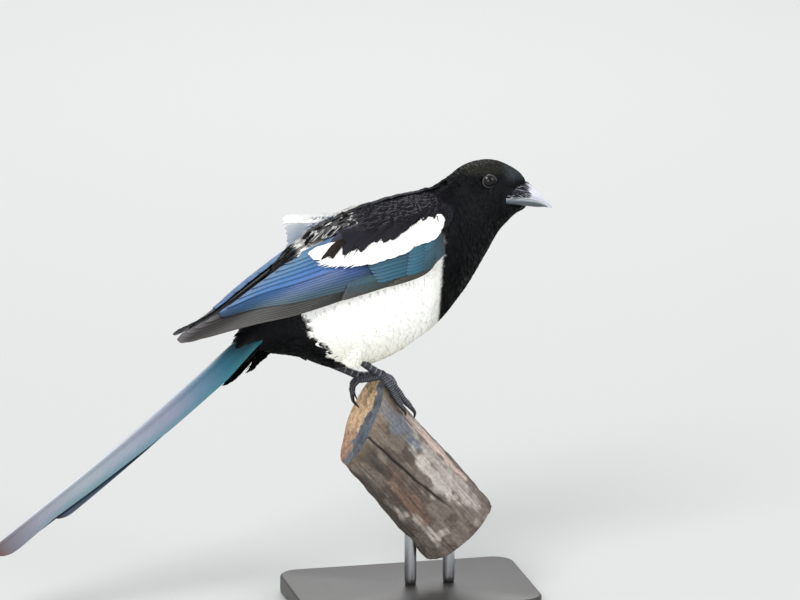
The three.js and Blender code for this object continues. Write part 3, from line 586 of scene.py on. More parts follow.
# Outlines of feathers: shares of the length, shares of the width there, and columns of points
CONTOUR_LEAF = np.array([0, 0.3, 0.58, 0.8, 0.94, 1.0]), np.array([0.55, 0.92, 1.0, 0.84, 0.5, 0.1]), 3
WISP_LEAF = np.array([0, 0.3, 0.6, 0.85, 1.0]), np.array([0.8, 1.0, 0.8, 0.45, 0.06]), 2
TUFT_LEAF = (*WISP_LEAF[:2], 3)
LOBE_LEAF = (np.array([0, 0.2, 0.4, 0.6, 0.75, 0.86, 0.94, 0.98, 1.0]),
             np.array([0.5, 0.75, 0.92, 1.0, 0.95, 0.8, 0.58, 0.36, 0.12]), 7)
# How many barbs or feathers the scattered pieces have on each side, or in all for the nose
COUNTS = {"nose": 620, "shoulder": 1400, "mantle": 500, "ruffled": 120, "thigh": 1100}
SOFT_THICK = 0.14
# Side of the square of the unwrap that a small feather takes
PATCH = 0.003


def col(values):
    """Values for each feather, to go with its rows and columns."""
    return np.asarray(values, float).reshape(-1, 1, 1)


def leaf_grid(length, width, leaf):
    """Share of each feather's length, share of its half width, and both in millimetres across and ahead."""
    rows, widths, columns = leaf
    s, c = rows[None, :, None], np.linspace(-1, 1, columns)[None, None, :]
    return s, c, col(width) / 2 * widths[None, :, None] * c, col(length) * s + 0 * c


def paired(u, v):
    return np.stack(np.broadcast_arrays(u, v), axis=-1)


def laid(surface, a, b, lift, thick, tint, half, ahead, seed, corner, s, c, patch=PATCH):
    """Blades with streaks along their barbs, each unwrapped in a patch from its corner. tint has a colour for
    each, or gives the colour at points of the surface."""
    tint = tint(surface(a, b)) if callable(tint) else tint[:, None, None] * np.ones(a.shape + (1,))
    grain = np.stack([np.abs(half) - 0.5 * ahead, ahead, col(np.arange(len(a)) * seed) + 0 * ahead], axis=-1)
    unwrap = paired(corner[0] + patch * (c + 1) / 2 + 0 * s, corner[1] + patch * s + 0 * c)
    return blades(surface, a, b, lift + 0 * a, np.full(a.shape, thick), tint, grain, unwrap)


# Feathers of the body

# Where along a feather it is mostly seen, past the feathers that cover its root
SEEN_AT = 0.86


def lay_on_body(t, turn, length, width, angle, low, high, leaf, thick, tint, curl=0.5):
    """Feathers on the body. angle turns a feather from straight back towards a growing turn; low and high are
    its lifts at the root and the tip."""
    speed_t, speed_turn = body_speed(t, turn)
    s, c, half, ahead = leaf_grid(length, width, leaf)
    cos_a, sin_a = np.cos(col(angle)), np.sin(col(angle))
    a = col(t) - (cos_a * ahead - sin_a * half) / col(speed_t)
    b = col(turn) + (sin_a * ahead + cos_a * half) / col(speed_turn)
    lift = mix(col(low), col(high), s) - curl * c**2 * leaf[1][None, :, None]
    corner = (col(turn) % (2 * np.pi)) / (2 * np.pi) * 0.95, np.clip(col(t) / 12, 0, 1) * 0.95
    return laid(body_at, a, b, lift, thick, tint, half, ahead, 3.7, corner, s, c, 0.9 * PATCH)


def spacing_at(t):
    """Millimetres between feathers: fine on the face, coarse on the body."""
    return np.interp(t, [0, 5, 7, 8.5, 10, 12], [3.3, 3.3, 2.5, 1.9, 1.45, 1.2])


def length_at(t, p):
    """Length of the contour feathers: short at the head and on the rump, longer on the flanks."""
    length = np.interp(t, [0, 2, 4, 6, 7.5, 9, 10.5, 12], [17, 20, 19, 15, 11, 7.5, 5, 3.5])
    return length * (1 + 0.15 * belly_white(p)) * mix(0.45, 1, smooth(0, 1.2, t))


def quincunx(start, end):
    """Feather roots in staggered rows over the body, with a little disorder."""
    places = []
    t, odd = start, 0
    while t < end:
        gap = float(spacing_at(t))
        ring = body_at(np.full(65, t), np.linspace(0, 2 * np.pi, 65))
        girth = np.linalg.norm(np.diff(ring, axis=0), axis=-1).sum()
        count = max(8, int(girth / gap))
        turns = (np.arange(count) + odd / 2) / count * 2 * np.pi
        turns = turns + RANDOM.normal(0, 0.16, count) * 2 * np.pi / count
        speed, _ = body_speed(np.array([t]), np.array([np.pi / 2]))
        places.append(np.stack([t + RANDOM.normal(0, 0.18, count) * gap / speed[0], turns], axis=-1))
        t += gap * 0.9 / speed[0]
        odd = 1 - odd
    return np.concatenate(places)


def under_wing(p):
    """Whether points of the body are well inside the folded wing's outline, seen from the side."""
    stations = np.linspace(0.35, 4.9, 40)
    s = along(WING, stations)
    low, high = s[:, [0, 2]], s[:, [3, 5]]
    edge = np.concatenate([mix(low, high, 0.14), mix(low, high, 0.8)[::-1]])
    inside = np.zeros(p.shape[:-1], bool)
    x, z = p[..., 0], p[..., 2]
    for (x1, z1), (x2, z2) in zip(edge, np.roll(edge, -1, axis=0)):
        crosses = (z1 > z) != (z2 > z)
        inside ^= crosses & (x < (x2 - x1) * (z - z1) / (z2 - z1 + 1e-9) + x1)
    return inside


def near_eye(p, room):
    return np.hypot(p[..., 0] - EYE["x"], p[..., 2] - EYE["z"]) < room


def on_bill(p):
    """Whether points of the body lie under the bare sides of the bill."""
    return (p[..., 0] > 82.5) & (p[..., 2] > 120.5) & (p[..., 2] < 137)


def border_stray(p, count):
    """How far each feather near the white belly carries its colour over the border: little at the breast."""
    reach = mix(0.4, 1.1, smooth(0, -20, p[:, 0]))
    along_x, up_z = (RANDOM.normal(0, 1, count) * reach for _ in range(2))
    return np.stack([along_x, 0 * reach, up_z], axis=-1)


def under_mantle(t, turn):
    """Whether a place on the body lies under the feathers of the back."""
    return (np.cos(turn) > 0.4) & (t > 2.4) & (t < 5.8)


def uncovered(t, turn, p, lid):
    """Whether feathers show there: not under the wing or the mantle, nor by the eye or the bill."""
    return ~(under_wing(p) | under_mantle(t, turn) | near_eye(p, EYE["opening"] + lid) | on_bill(p))


def contour_coat():
    """Overlapping contour feathers over the whole body, split by region, and white from black."""
    t, turn = quincunx(0.05, 11.9).T
    keep = uncovered(t, turn, body_at(t, turn), 1.4)
    t, turn = t[keep], turn[keep]
    root = body_at(t, turn)
    count = len(t)
    chance = RANDOM.random(count)
    length = length_at(t, root) * RANDOM.uniform(0.88, 1.12, count)
    width = spacing_at(t) * 2.5 * RANDOM.uniform(0.9, 1.15, count)
    angle = RANDOM.normal(0, 0.1, count)
    scale = np.interp(t, [0, 7, 9, 12], [1, 1, 0.5, 0.35])
    ruffled = rump_patch(root) * RANDOM.uniform(0, 1, count)
    angle = angle + ruffled * RANDOM.normal(0, 0.5, count)
    past_eye = near_eye(body_at(t - length / 12 * 0.9, turn), EYE["opening"] + 1.2) & (t > 9)
    length = np.where(past_eye, length * 0.5, length)
    seen = body_at(t - SEEN_AT * length / body_speed(t, turn)[0], turn)
    white = belly_white(seen) > 0.5
    nape = smooth(30, 38, root[:, 0]) * smooth(62, 54, root[:, 0])
    low = np.where(white, -1.5, -1.9 * scale)
    high = np.where(white, 0.1 * chance - 0.1, (0.2 + 0.2 * chance - 0.5 * nape) * scale + 1.2 * ruffled)
    stray = border_stray(seen, count)
    regions = {"white": (-1, 13), "rump": (-1, 1.7), "torso": (1.7, 5.8), "neck": (5.8, 8), "head": (8, 13)}
    for name, (start, end) in regions.items():
        m = (t >= start) & (t < end) & (white == (name == "white"))
        tint = lambda p: coat_tint(p + stray[m][:, None, None], chance[m][:, None, None])
        curl, dress = (0.12, WHITE_DRESS) if name == "white" else (0.4, BLACK_DRESS)
        some = (values[m] for values in (t, turn, length, width, angle, low, high))
        part = lay_on_body(*some, CONTOUR_LEAF, 0.12, tint, curl)
        piece("coat_" + name, part, *dress)


def scatter(count, start, end, density):
    """Random places on the body, as many on each square millimetre as density says."""
    rows, columns = 220, 180
    t, turn = np.meshgrid(np.linspace(start, end, rows), np.linspace(0, 2 * np.pi, columns), indexing="ij")
    t, turn = t.ravel(), turn.ravel()
    weight = np.prod(body_speed(t, turn), axis=0) * density(t, turn, body_at(t, turn))
    chosen = RANDOM.choice(len(t), count, p=weight / weight.sum())
    t = t[chosen] + RANDOM.uniform(-0.5, 0.5, count) * (end - start) / rows
    return t, turn[chosen] + RANDOM.uniform(-0.5, 0.5, count) * 2 * np.pi / columns


def wisps(name, count, span, length, width, lift, spread, white=False):
    """Fine loose barbs over the contour feathers, on the white part of the body or the black one."""
    def density(t, turn, p):
        return (uncovered(t, turn, p, 1.6) & ((belly_white(p) > 0.5) == white)).astype(float)

    t, turn = scatter(count, *span, density)
    chance = RANDOM.random(count)
    scale = np.interp(t, [0, 7, 9, 12], [1, 1, 0.6, 0.45])
    lengths = RANDOM.uniform(*length, count) * scale
    angles = RANDOM.normal(0, spread, count)
    high = RANDOM.uniform(*lift, count)
    tint = lambda p: coat_tint(p, chance[:, None, None])
    part = lay_on_body(t, turn, lengths, RANDOM.uniform(*width, count), angles, -0.7 * scale, high,
                       WISP_LEAF, 0.2, tint, curl=0)
    piece(name, part, *(WHITE_DRESS if white else BLACK_DRESS))


# Head: bristles over the nostrils, lids, eyes and bill

# By place along the face: half width, height of the ridge and height of the mouth under the bristles
NOSE_X = (76, 84, 90, 96, 101.6, 106.4)
NOSE_HALF = (13.4, 11.7, 10.2, 8.5, 6.7, 5.3)
NOSE_RIDGE = (143, 141, 139.8, 138.8, 136.4, 132.8)
NOSE_MOUTH = (129.6, 129.6, 129.6, 129, 127.6, 126)


def nose_bristles():
    """Stiff black bristles from forehead and lores, forward over the bill's base, with painted highlights
    towards their tips, pale grey on some.
    """
    count = COUNTS["nose"]
    side = np.where(np.arange(count) % 2 == 0, RIGHT, LEFT)
    share = RANDOM.uniform(0, 1, count)
    start = RANDOM.uniform(78, 91, count)
    length = RANDOM.uniform(8, 13, count)
    climb = mix(0.08, 1.5, share)
    droop = RANDOM.normal(0.16, 0.1, count)
    stand = RANDOM.uniform(0.3, 1.1, count)

    def at(ahead, across, lift):
        x = col(start) + col(length) * ahead
        half = np.interp(x, NOSE_X, NOSE_HALF) + lift
        angle = col(climb) - col(droop) * ahead**1.5 + across / half
        mouth, ridge = np.interp(x, NOSE_X, NOSE_MOUTH), np.interp(x, NOSE_X, NOSE_RIDGE) + lift
        high = mix(mouth, ridge, np.abs(np.sin(angle)) ** 0.8)
        return np.stack([x, col(side) * half * np.cos(angle), high], axis=-1)

    rows, widths, columns = WISP_LEAF
    s = rows[None, :, None] * np.ones((count, 1, columns))
    c = np.linspace(-1, 1, columns) * np.ones(s.shape)
    width = col(RANDOM.uniform(0.3, 0.5, count))
    lift = mix(-1.0, 0.2, s**0.6) + col(stand) * s
    # Painted highlight: the black bristles lighten towards their tips, to pale grey on about a third of them
    pale = (RANDOM.random(count) < 0.32)[:, None, None, None]
    tip = smooth(0.35, 1.0, s)[..., None] * np.where(pale, 0.85, 1)
    tint = mix(DEEP_BLACK, np.where(pale, colour(158, 160, 170), colour(38, 40, 46)), tip)
    grain = np.stack([c * width, s * 12, 0 * s + col(np.arange(count))], axis=-1)
    unwrap = paired(0.02 + 0.9 * col(share) + PATCH * (c + 1) / 2, col(start - 78) / 12 * 0.9 + PATCH * s)
    part = blades(at, s, c * width * widths[None, :, None], lift, np.full(s.shape, 0.2), tint, grain, unwrap)
    piece("nose_bristles", part, *BLACK_DRESS)


def bill_half(stations, arch, places, tints):
    """One half of the bill. tints go from its cutting edge (place 0) to its ridge or floor (place 1)."""
    s = along(stations, np.linspace(0, len(stations) - 1, 80))[:, :, None]
    a = np.linspace(0, np.pi, 29)
    inner = np.array([-0.9, -0.5, 0.0, 0.5, 0.9])
    peak, seam, half = s[:, 1], s[:, 2] - (0.3 if arch < 0 else 0), np.maximum(s[:, 3], 0.25)
    y = np.concatenate([half * np.cos(a), half * inner], axis=1)
    z = np.concatenate([mix(seam, peak, np.sin(a) ** 0.8), seam + arch * 0.35 * (1 - inner**2)], axis=1)
    share = np.clip((z - seam) / (peak - seam + 1e-6), 0, 1)
    return tubes(np.stack([s[:, 0] + 0 * y, y, z], axis=-1), blended(places, tints, share))


# Painted reflection: the black horn of the bill painted pale grey where it mirrors the sky, all over the upper
# half and near the lower half's cutting edge, darkening to black on its floor
UPPER_BILL_HIGHLIGHTS = ramp((226, 226, 232), (176, 178, 190), (200, 202, 212), (222, 224, 230))
LOWER_BILL_HIGHLIGHTS = ramp((176, 184, 192), (124, 136, 144), (70, 82, 88), (50, 58, 62), (26, 30, 32))
# Stations of the body along the corner of the mouth
GAPE_STATIONS = (9.45, 9.75, 10.05, 10.35, 10.65)


def bill():
    upper = bill_half(UPPER_BILL, 1, (0, 0.14, 0.5, 1), UPPER_BILL_HIGHLIGHTS)
    lower = bill_half(LOWER_BILL, -1, (0, 0.14, 0.32, 0.7, 1), LOWER_BILL_HIGHLIGHTS)
    piece("bill_upper_horn", upper, HORN, "bill", "bill_upper")
    piece("bill_lower_horn", lower, HORN, "bill", "bill_lower")
    grey = lambda share, turn: paint(colour(52, 54, 58), colour(150, 154, 162), share)
    turns = np.interp(GAPE_STATIONS, GAPE_STATIONS[::len(GAPE_STATIONS) - 1], (1.86, 1.93))
    for side, name in SIDE_NAME.items():
        path = body_at(np.array(GAPE_STATIONS), turns, 0.1) * np.array([1, side, 1])
        piece(f"gape_{name}", tube_along(path, [0.2, 0.5, 0.7, 0.8], 40, 14, grey), HORN, "bill")


def sphere(steps, rings, pole):
    """Angles round and away from the axis of a sphere, whose poles are left open by a little."""
    return np.meshgrid(full_turn(steps), np.linspace(pole, np.pi - pole, rings))


def eyes():
    """Dark eyeballs with a bulging cornea, and their lids."""
    turn, tip = sphere(48, 40, 0.02)
    out, around = np.cos(tip), np.sin(tip)
    r = EYE["radius"] * (1 + 0.035 * smooth(0.75, 1.0, out)) - 0.7 * smooth(0.7, 0.8, around)
    tint = paint(colour(3, 3, 4), colour(20, 14, 11), smooth(0.36, 0.40, around))
    tint = paint(tint, colour(10, 9, 9), smooth(0.62, 0.70, around))
    x, z = EYE["x"] + r * around * np.cos(turn), EYE["z"] + r * around * np.sin(turn)
    for side, name in SIDE_NAME.items():
        ball = tubes(np.stack([x, side * (EYE["y"] + r * out), z], axis=-1), tint)
        piece(f"eye_{name}_ball", ball, EYE_GLASS, "eye", f"eye_{name}")
        piece(f"eye_{name}_lids", eyelids(side), LEG_SCALE, "plumage_black")


def eyelids(side):
    """A thin ring of bare skin round the eye, beaded, a little almond-shaped."""
    turn, a = full_turn(96)[:, None], full_turn(12)
    tube = 0.5 + 0.05 * np.sin(turn * 26)
    reach = EYE["opening"] + 0.12 * np.cos(2 * turn)
    ring = reach + tube * np.cos(a)
    y = np.sqrt(EYE["radius"] ** 2 - reach**2) + EYE["y"] + 0.1 + tube * 0.9 * np.sin(a)
    x, z = EYE["x"] + ring * np.cos(turn), EYE["z"] + ring * 0.97 * np.sin(turn)
    rings = np.stack([x, side * y, z], axis=-1)
    points = rings.reshape(-1, 3)
    faces = outward(points, ring_faces(*ring.shape, closed=True))
    return {"points": points, "faces": faces, "tint": plain(colour(50, 52, 55), points)}


# Wings

# A wing feather: how it slopes to its covered edge, how it arches, its thickness and where its shaft runs
VANE_SLOPE, VANE_CROWN, VANE_THICK, SHAFT_AT = 1.05, 0.12, 0.26, 0.38

# Colours along a feather, from its root to its tip. The lighter blue of the tertials and the paler tips of the
# primaries are partly the feathers' own colour and partly painted sheen.
WING_BLUE = (0.0, 0.25, 0.6, 0.9, 1.0)
SECONDARY = ramp((30, 66, 126), (40, 82, 150), (50, 98, 166), (70, 114, 172), (92, 124, 166))
TERTIAL = ramp((62, 104, 152), (80, 122, 166), (94, 138, 172), (98, 134, 166), (84, 118, 154))
COVERT = ramp((14, 48, 60), (22, 70, 86), (28, 84, 104), (40, 92, 116), (46, 84, 106))
SHOULDER = ramp((12, 24, 30), (15, 36, 44), (20, 52, 62), (26, 64, 76), (30, 64, 76))
LOW_SECONDARY = ramp((8, 36, 44), (12, 58, 68), (15, 74, 88), (22, 78, 110), (42, 82, 124))
LOW_TERTIAL = ramp((36, 78, 142), (48, 94, 158), (66, 112, 168), (84, 122, 168), (88, 116, 152))
GREEN_COVERT = ramp((14, 40, 38), (18, 56, 58), (26, 70, 76), (30, 64, 80), (24, 52, 68))
PRIMARY = ramp((10, 12, 12), (14, 15, 15), (22, 22, 21), (40, 37, 37), (96, 92, 96))
OLIVE = ramp((34, 38, 32), (44, 46, 38), (52, 52, 42), (58, 54, 46), (58, 52, 44))
# Colour of the thin line along a free edge, and its share of the width. The pale line is the primaries' own
# pale edging; the dark line is painted shadow along the step where a feather's free edge lies on the one
# below.
PALE_LINE, DARK_LINE = (colour(132, 126, 110), 0.02), (colour(6, 14, 26), 0.06)
PRIMARY_U = (6.35, 6.8, 7, 7.02, 6.92, 6.78, 6.58, 6.32)
PRIMARY_UP = (-0.6, 0, 1, 2, 3.8, 6, 8.8, 12)

# The tiers of wing feathers. low and high are the colours of a tier's lowest and highest feather, and
# strength is that of their lines. The free lower edge runs from root_u to tip_u, in stations, and from root_up
# to tip_up, in millimetres.
Tier = collections.namedtuple("Tier", "count width lift round_tip columns rows low high line strength "
                                      "root_u root_up tip_u tip_up")
TIERS = {
    "primaries": Tier(9, 8.5, 0.9, 14, 7, 40, PRIMARY, PRIMARY, PALE_LINE, (0.35, 0.2),
                      2.6, (0.3, 10.9), PRIMARY_U, PRIMARY_UP),
    "secondaries": Tier(9, 6.6, 1.5, 11, 7, 44, LOW_SECONDARY, SECONDARY, DARK_LINE, (0.95, 0.6),
                        1.9, (4.5, 21.5), (5.86, 6.02), (10.2, 16.4)),
    "tertials": Tier(6, 8.4, 1.9, 13, 9, 40, LOW_TERTIAL, TERTIAL, DARK_LINE, (0.6, 0.45),
                     (2.5, 3.0), (22, 38), (5.8, 4.5), (16, 35.5)),
    "primary_coverts": Tier(6, 4.8, 1.9, 5, 5, 18, OLIVE, GREEN_COVERT, DARK_LINE, (0.7, 0.6),
                            1.6, (0.6, 7), (3.05, 2.95), (0.4, 7)),
    "greater_coverts": Tier(8, 6.4, 2.3, 6, 7, 20, COVERT, COVERT, DARK_LINE, (0.6, 0.5),
                            0.95, (4.4, 19.9), (2.3, 2.65), (4.4, 20.9)),
    "median_coverts": Tier(8, 5.2, 2.7, 5, 5, 16, COVERT, COVERT, DARK_LINE, (0.45, 0.4),
                           0.6, (3.6, 18.6), 1.6, (4, 19)),
    "lesser_coverts_hind": Tier(9, 4.4, 3.0, 4, 5, 12, SHOULDER, COVERT, DARK_LINE, (0.35, 0.35),
                                0.3, (2, 18), 1.1, (3, 19)),
    "lesser_coverts_fore": Tier(9, 4.2, 3.2, 4, 5, 12, SHOULDER, SHOULDER, DARK_LINE, (0.3, 0.3),
                                -0.1, (1, 17), 0.65, (2.5, 17.5)),
    "alula": Tier(3, 3.6, 2.2, 5, 5, 16, OLIVE, OLIVE, DARK_LINE, (0.8, 0.5),
                  0.3, (0.1, 2.3), (2.05, 1.75), (-0.6, 1.8)),
}


def tip_outline(left, tip, least=0.1):
    """Width of a vane with a round end, by the distance left to its tip."""
    bent = 1 - np.clip(left / tip, 0, 1)
    return np.maximum(np.sqrt(np.clip(1 - bent**2, 0, 1)), least)


def spaced(values, share):
    """The value at a share of the way through values, or the only one."""
    values = np.atleast_1d(values)
    return np.interp(share, np.linspace(0, 1, len(values)), values)


def single(surface, *values):
    """One blade, from values without the first index."""
    return blades(surface, *(value[None] for value in values))


def broad_unwrap(order, count, c, share):
    """Unwrap of one of count broad vanes, side by side."""
    return paired((order + 0.05 + 0.85 * c[None]) / count, 0.02 + 0.93 * share[:, None])


def wing_vane(surface, tier, i):
    """One wing feather: sunk at its root, with its free lower edge on top of the feather below it."""
    share = i / (tier.count - 1)
    root_u, root_up, tip_u, tip_up = (spaced(values, share) for values in tier[-4:])
    t = np.linspace(0, 1, tier.rows) ** 0.8
    c = np.concatenate([[0, 0.05], np.linspace(0.14, 1, tier.columns - 2)])
    span = np.linalg.norm(wing_at(tip_u, tip_up) - wing_at(root_u, root_up))
    outline = tip_outline((1 - t) * span, tier.round_tip)
    u = mix(root_u, tip_u, t)[:, None] + 0 * c
    edge = mix(root_up, tip_up, t) + (1 - outline) * 0.42 * tier.width
    up = edge[:, None] + tier.width * outline[:, None] * c
    rise = smooth(0, 0.3, t)[:, None]
    arch = VANE_CROWN * np.sin(np.pi * c) * outline[:, None]
    lift = mix(-1.4, tier.lift, rise) - VANE_SLOPE * c * rise + arch
    thick = VANE_THICK * (0.5 + 0.5 * outline[:, None]) * np.ones(tier.columns)
    tint = mix(blended(WING_BLUE, tier.low, t), blended(WING_BLUE, tier.high, t), share)[:, None, :]
    tint = tint * np.ones((1, tier.columns, 1)) * RANDOM.uniform(0.9, 1.1)
    line, line_width = tier.line
    # The line along the free edge: the primaries' own pale edging, and on the other tiers a painted shadow of
    # the step onto the feather below
    tint = mix(tint, line, mix(*tier.strength, share) * (c[None, :, None] < line_width))
    shaft = np.exp(-((c - SHAFT_AT) / 0.09) ** 2)[None, :, None]
    tint = mix(tint, tint * 0.5, shaft * 0.4)
    # Painted shade: each vane darkens towards its covered upper edge, under the feather above
    tint = tint * mix(1.0, 0.7, smooth(0.55, 1.0, c))[None, :, None]
    ahead = (t * span)[:, None] + 0 * c
    across = np.abs(c - SHAFT_AT) * tier.width + 0 * ahead
    grain = np.stack([across - 0.45 * ahead, ahead, 0 * ahead + 5.3 * i + tier.lift * 40], axis=-1)
    return single(surface, u, up, lift, thick, tint, grain, broad_unwrap(i, tier.count, c, t))


def wing_body(surface):
    """The dark inner body of the wing under its feathers."""
    u = np.linspace(0.1, 6.45, 60)
    c = np.linspace(0, 1, 14)
    up = 1.4 + (wing_chord(u)[:, None] - 2.6) * c
    deep = np.interp(u, [0, 3.4, 5.9, 7], [-6.5, -6.5, -1.6, -1.0])[:, None]
    top = surface(u[:, None] + 0 * c, up, -0.6 + 0 * up)
    low = surface(u[:, None] + 0 * c, up, deep + 0 * up)
    rings = np.concatenate([top, low[:, ::-1]], axis=1)
    return tubes(rings, plain(colour(16, 20, 26), rings))


def wings():
    for side, name in SIDE_NAME.items():
        surface = mirrored(wing_at, side)
        piece(f"wing_{name}_body", wing_body(surface), LEG_SCALE, "plumage_blue", f"wing_{name}")
        for tier_name, tier in TIERS.items():
            vanes = [wing_vane(surface, tier, i) for i in range(tier.count)]
            piece(f"wing_{name}_{tier_name}", joined(vanes), GLOSSY_VANE, "plumage_blue")


def band_lift(side, u, share):
    """Height of the white feathers over the wing. On the far side they stand up at the back."""
    stand = np.clip((u - RUFFLED[0]) / (RUFFLED[1] - RUFFLED[0]), 0, 1)
    return BAND_LIFT[side] + RUFFLE[side] * stand * np.clip((share - 0.5) / 0.65, 0, 1)


def between(values, low, high):
    return (values > low) & (values < high)


def in_band(u, share, inset, over):
    """Whether a place on the wing is in its white band, drawn in by inset and widened by over at the top."""
    low, top = np.interp(u, *BAND_LOW.T) + inset, np.interp(u, *BAND_TOP.T)
    highest = np.minimum(top + over, np.maximum(top - inset, 0.93))
    return (share > low) & (share < highest) & (u > BAND_LOW[0, 0] + 0.25) & (u < BAND_LOW[-1, 0] - 0.1)


# Millimetres in a station of the wing, and where the standing white feathers of the far wing lie
STATION = 28
FAR_LOBE = {"u": (2.6, 3.85), "share": (0.55, 1.13)}


def soft_on_wing(side, u, share, length, width, angle, low, high, leaf, tint):
    """Soft feathers lying on the wing: rooted at station u and share of the chord, pointing back."""
    s, c, half, ahead = leaf_grid(length, width, leaf)
    cos_a, sin_a = np.cos(col(angle)), np.sin(col(angle))
    a = col(u) + (cos_a * ahead - sin_a * half) / STATION
    b = col(share) * wing_chord(a) + sin_a * ahead + cos_a * half
    lift = mix(col(low), col(high), s) - 0.15 * c**2 + band_lift(side, a, b / wing_chord(a))
    corner = 0.05 + (col(u) + 0.8) / 6 * 0.85, 0.05 + col(share) * 0.6
    return laid(mirrored(wing_at, side), a, b, lift, SOFT_THICK, tint, half, ahead, 2.9, corner, s, c)


def scapulars():
    """White shoulder feathers in a band over each wing, ruffled at the back of the far one, and barbs."""
    for side, name in SIDE_NAME.items():
        u, share = np.meshgrid(np.arange(-1.0, 4.0, 0.08), np.arange(0.35, 1.3, 0.065), indexing="ij")
        u = (u + np.where(np.arange(u.shape[1]) % 2, 0.04, 0)).ravel()
        share = share.ravel() + RANDOM.normal(0, 0.008, u.size)
        u = u + RANDOM.normal(0, 0.02, u.size)
        length = RANDOM.uniform(12, 16, u.size)
        angle = RANDOM.normal(-0.16, 0.03, u.size)
        seen_u = u + 0.9 * length / STATION
        seen_share = share + np.sin(angle) * 0.9 * length / wing_chord(seen_u)
        inside = in_band(seen_u, seen_share, 0.055, 0.12)
        if side == LEFT:
            inside |= between(seen_u, *FAR_LOBE["u"]) & between(seen_share, *FAR_LOBE["share"])
        u, share, length, angle = u[inside], share[inside], length[inside], angle[inside]
        n = len(u)
        tint = WHITE * RANDOM.uniform(0.95, 1.0, n)[:, None]
        part = soft_on_wing(side, u, share, length, RANDOM.uniform(5, 6.4, n), angle,
                            -1.3, RANDOM.uniform(-0.1, 0.2, n), CONTOUR_LEAF, tint)
        piece(f"scapulars_{name}_vanes", part, *WHITE_DRESS, f"scapulars_{name}")
        n = COUNTS["shoulder"]
        u = RANDOM.uniform(0.0, 3.3, n)
        low, top = np.interp(u, *BAND_LOW.T) + 0.08, np.minimum(np.interp(u, *BAND_TOP.T), 1.0)
        share = mix(low, top, RANDOM.uniform(0, 1, n))
        part = soft_on_wing(side, u, share, RANDOM.uniform(5, 9, n), RANDOM.uniform(0.4, 0.8, n),
                            RANDOM.normal(-0.16, 0.1, n), -0.5, 0.35, WISP_LEAF,
                            WHITE * RANDOM.uniform(0.93, 1.0, n)[:, None])
        piece(f"scapulars_{name}_wisps", part, *WHITE_DRESS)


# Mantle: the black back between the wings, over the upper edge of the white bands

# Stations of the body by place along the back
BACK_X, BACK_T = (-58, -34, -8, 14, 32, 46), (2, 3, 4, 5, 6, 7)
# How far the back arches, its lift over the wing, its last station, its depth at the shoulder, and its lift
# over the body
MANTLE_CROWN, MANTLE_LIFT = {RIGHT: 2.2, LEFT: 0.8}, {RIGHT: 4.9, LEFT: 1.5}
MANTLE_LAST = {RIGHT: 3.05, LEFT: 2.5}
MANTLE_SUNK, BACK_LIFT = 7, 0.2
# The broad feathers at the mantle's end: tip's station, distance from the white band, width, length and angle
LOBES = np.array([
    (3.25, 5, 12, 17, 1.0), (3.14, 2, 12, 17, 1.05), (3.42, -2, 9, 10, 1.1), (3.32, 0, 9, 11, 1.15),
])
LOBE_LIFT = np.array([2.4, 2.4, 1.4, 1.4])


def mantle_spine(side, u):
    """The middle of the back at a wing station, the wing's upper edge there, and the way between them."""
    sunk = MANTLE_SUNK * smooth(0.5, -0.7, u)
    edge = wing_at(u, wing_chord(u), MANTLE_LIFT[side] - sunk)
    back = body_at(np.interp(edge[..., 0], BACK_X, BACK_T), 0 * u, BACK_LIFT - 0.4 * sunk)
    return back, edge, np.linalg.norm(edge - back, axis=-1)


def mantle_raw(side, u, d):
    """Half of the back: wing station u, and d millimetres from the middle of the back outwards."""
    back, edge, room = mantle_spine(side, u)
    f = d / room
    bulge = MANTLE_CROWN[side] * 4 * f * (1 - f)
    inner = back + (edge - back) * f[..., None] + np.array([0, -0.3, 0.95]) * np.maximum(bulge, 0)[..., None]
    sunk = MANTLE_SUNK * smooth(0.5, -0.7, u)
    outer = wing_at(u, wing_chord(u) - (d - room), MANTLE_LIFT[side] - sunk)
    return np.where((d < room)[..., None], inner, outer)


def mantle_smooth(side, u, d):
    """The same without the crease between back and wing."""
    return sum(mantle_raw(side, u, d + step) for step in (-5, -2.5, 0, 2.5, 5)) / 5


def mantle_of(side):
    """The back's surface on one side, for feathers."""
    def at(u, d, lift=0.0):
        u, d, lift = np.broadcast_arrays(np.asarray(u, float), np.asarray(d, float), np.asarray(lift, float))
        along_u = mantle_smooth(side, u + 0.02, d) - mantle_smooth(side, u - 0.02, d)
        along_d = mantle_smooth(side, u, d + 0.5) - mantle_smooth(side, u, d - 0.5)
        return mantle_smooth(side, u, d) + unit(np.cross(along_d, along_u)) * lift[..., None]

    return mirrored(at, side)


def mantle_end(side, u):
    """Millimetres from the middle of the back to the white band's upper edge."""
    return mantle_spine(side, u)[2] + wing_chord(u) * (1 - np.interp(u, *BAND_TOP.T))


def on_mantle(side, tip_u, tip_d, length, width, angle, low, high, leaf, tint, curl=0.3):
    """Feathers on the back, given by where their tips lie. angle turns them from straight back outwards."""
    s, c, half, ahead = leaf_grid(length, width, leaf)
    behind = col(length) - ahead
    turned = col(angle) * mix(0.5, 1.0, s)
    a = col(tip_u) - (np.cos(turned) * behind + np.sin(turned) * half) / STATION
    b = col(tip_d) - np.sin(turned) * behind + np.cos(turned) * half
    lift = mix(col(low), col(high), s) - curl * c**2
    corner = 0.05 + (col(tip_u) + 1) / 6 * 0.85, 0.05 + col(tip_d) / 60 * 0.85
    return laid(mantle_of(side), a, b, lift, SOFT_THICK, tint, half, ahead, 3.9, corner, s, c)


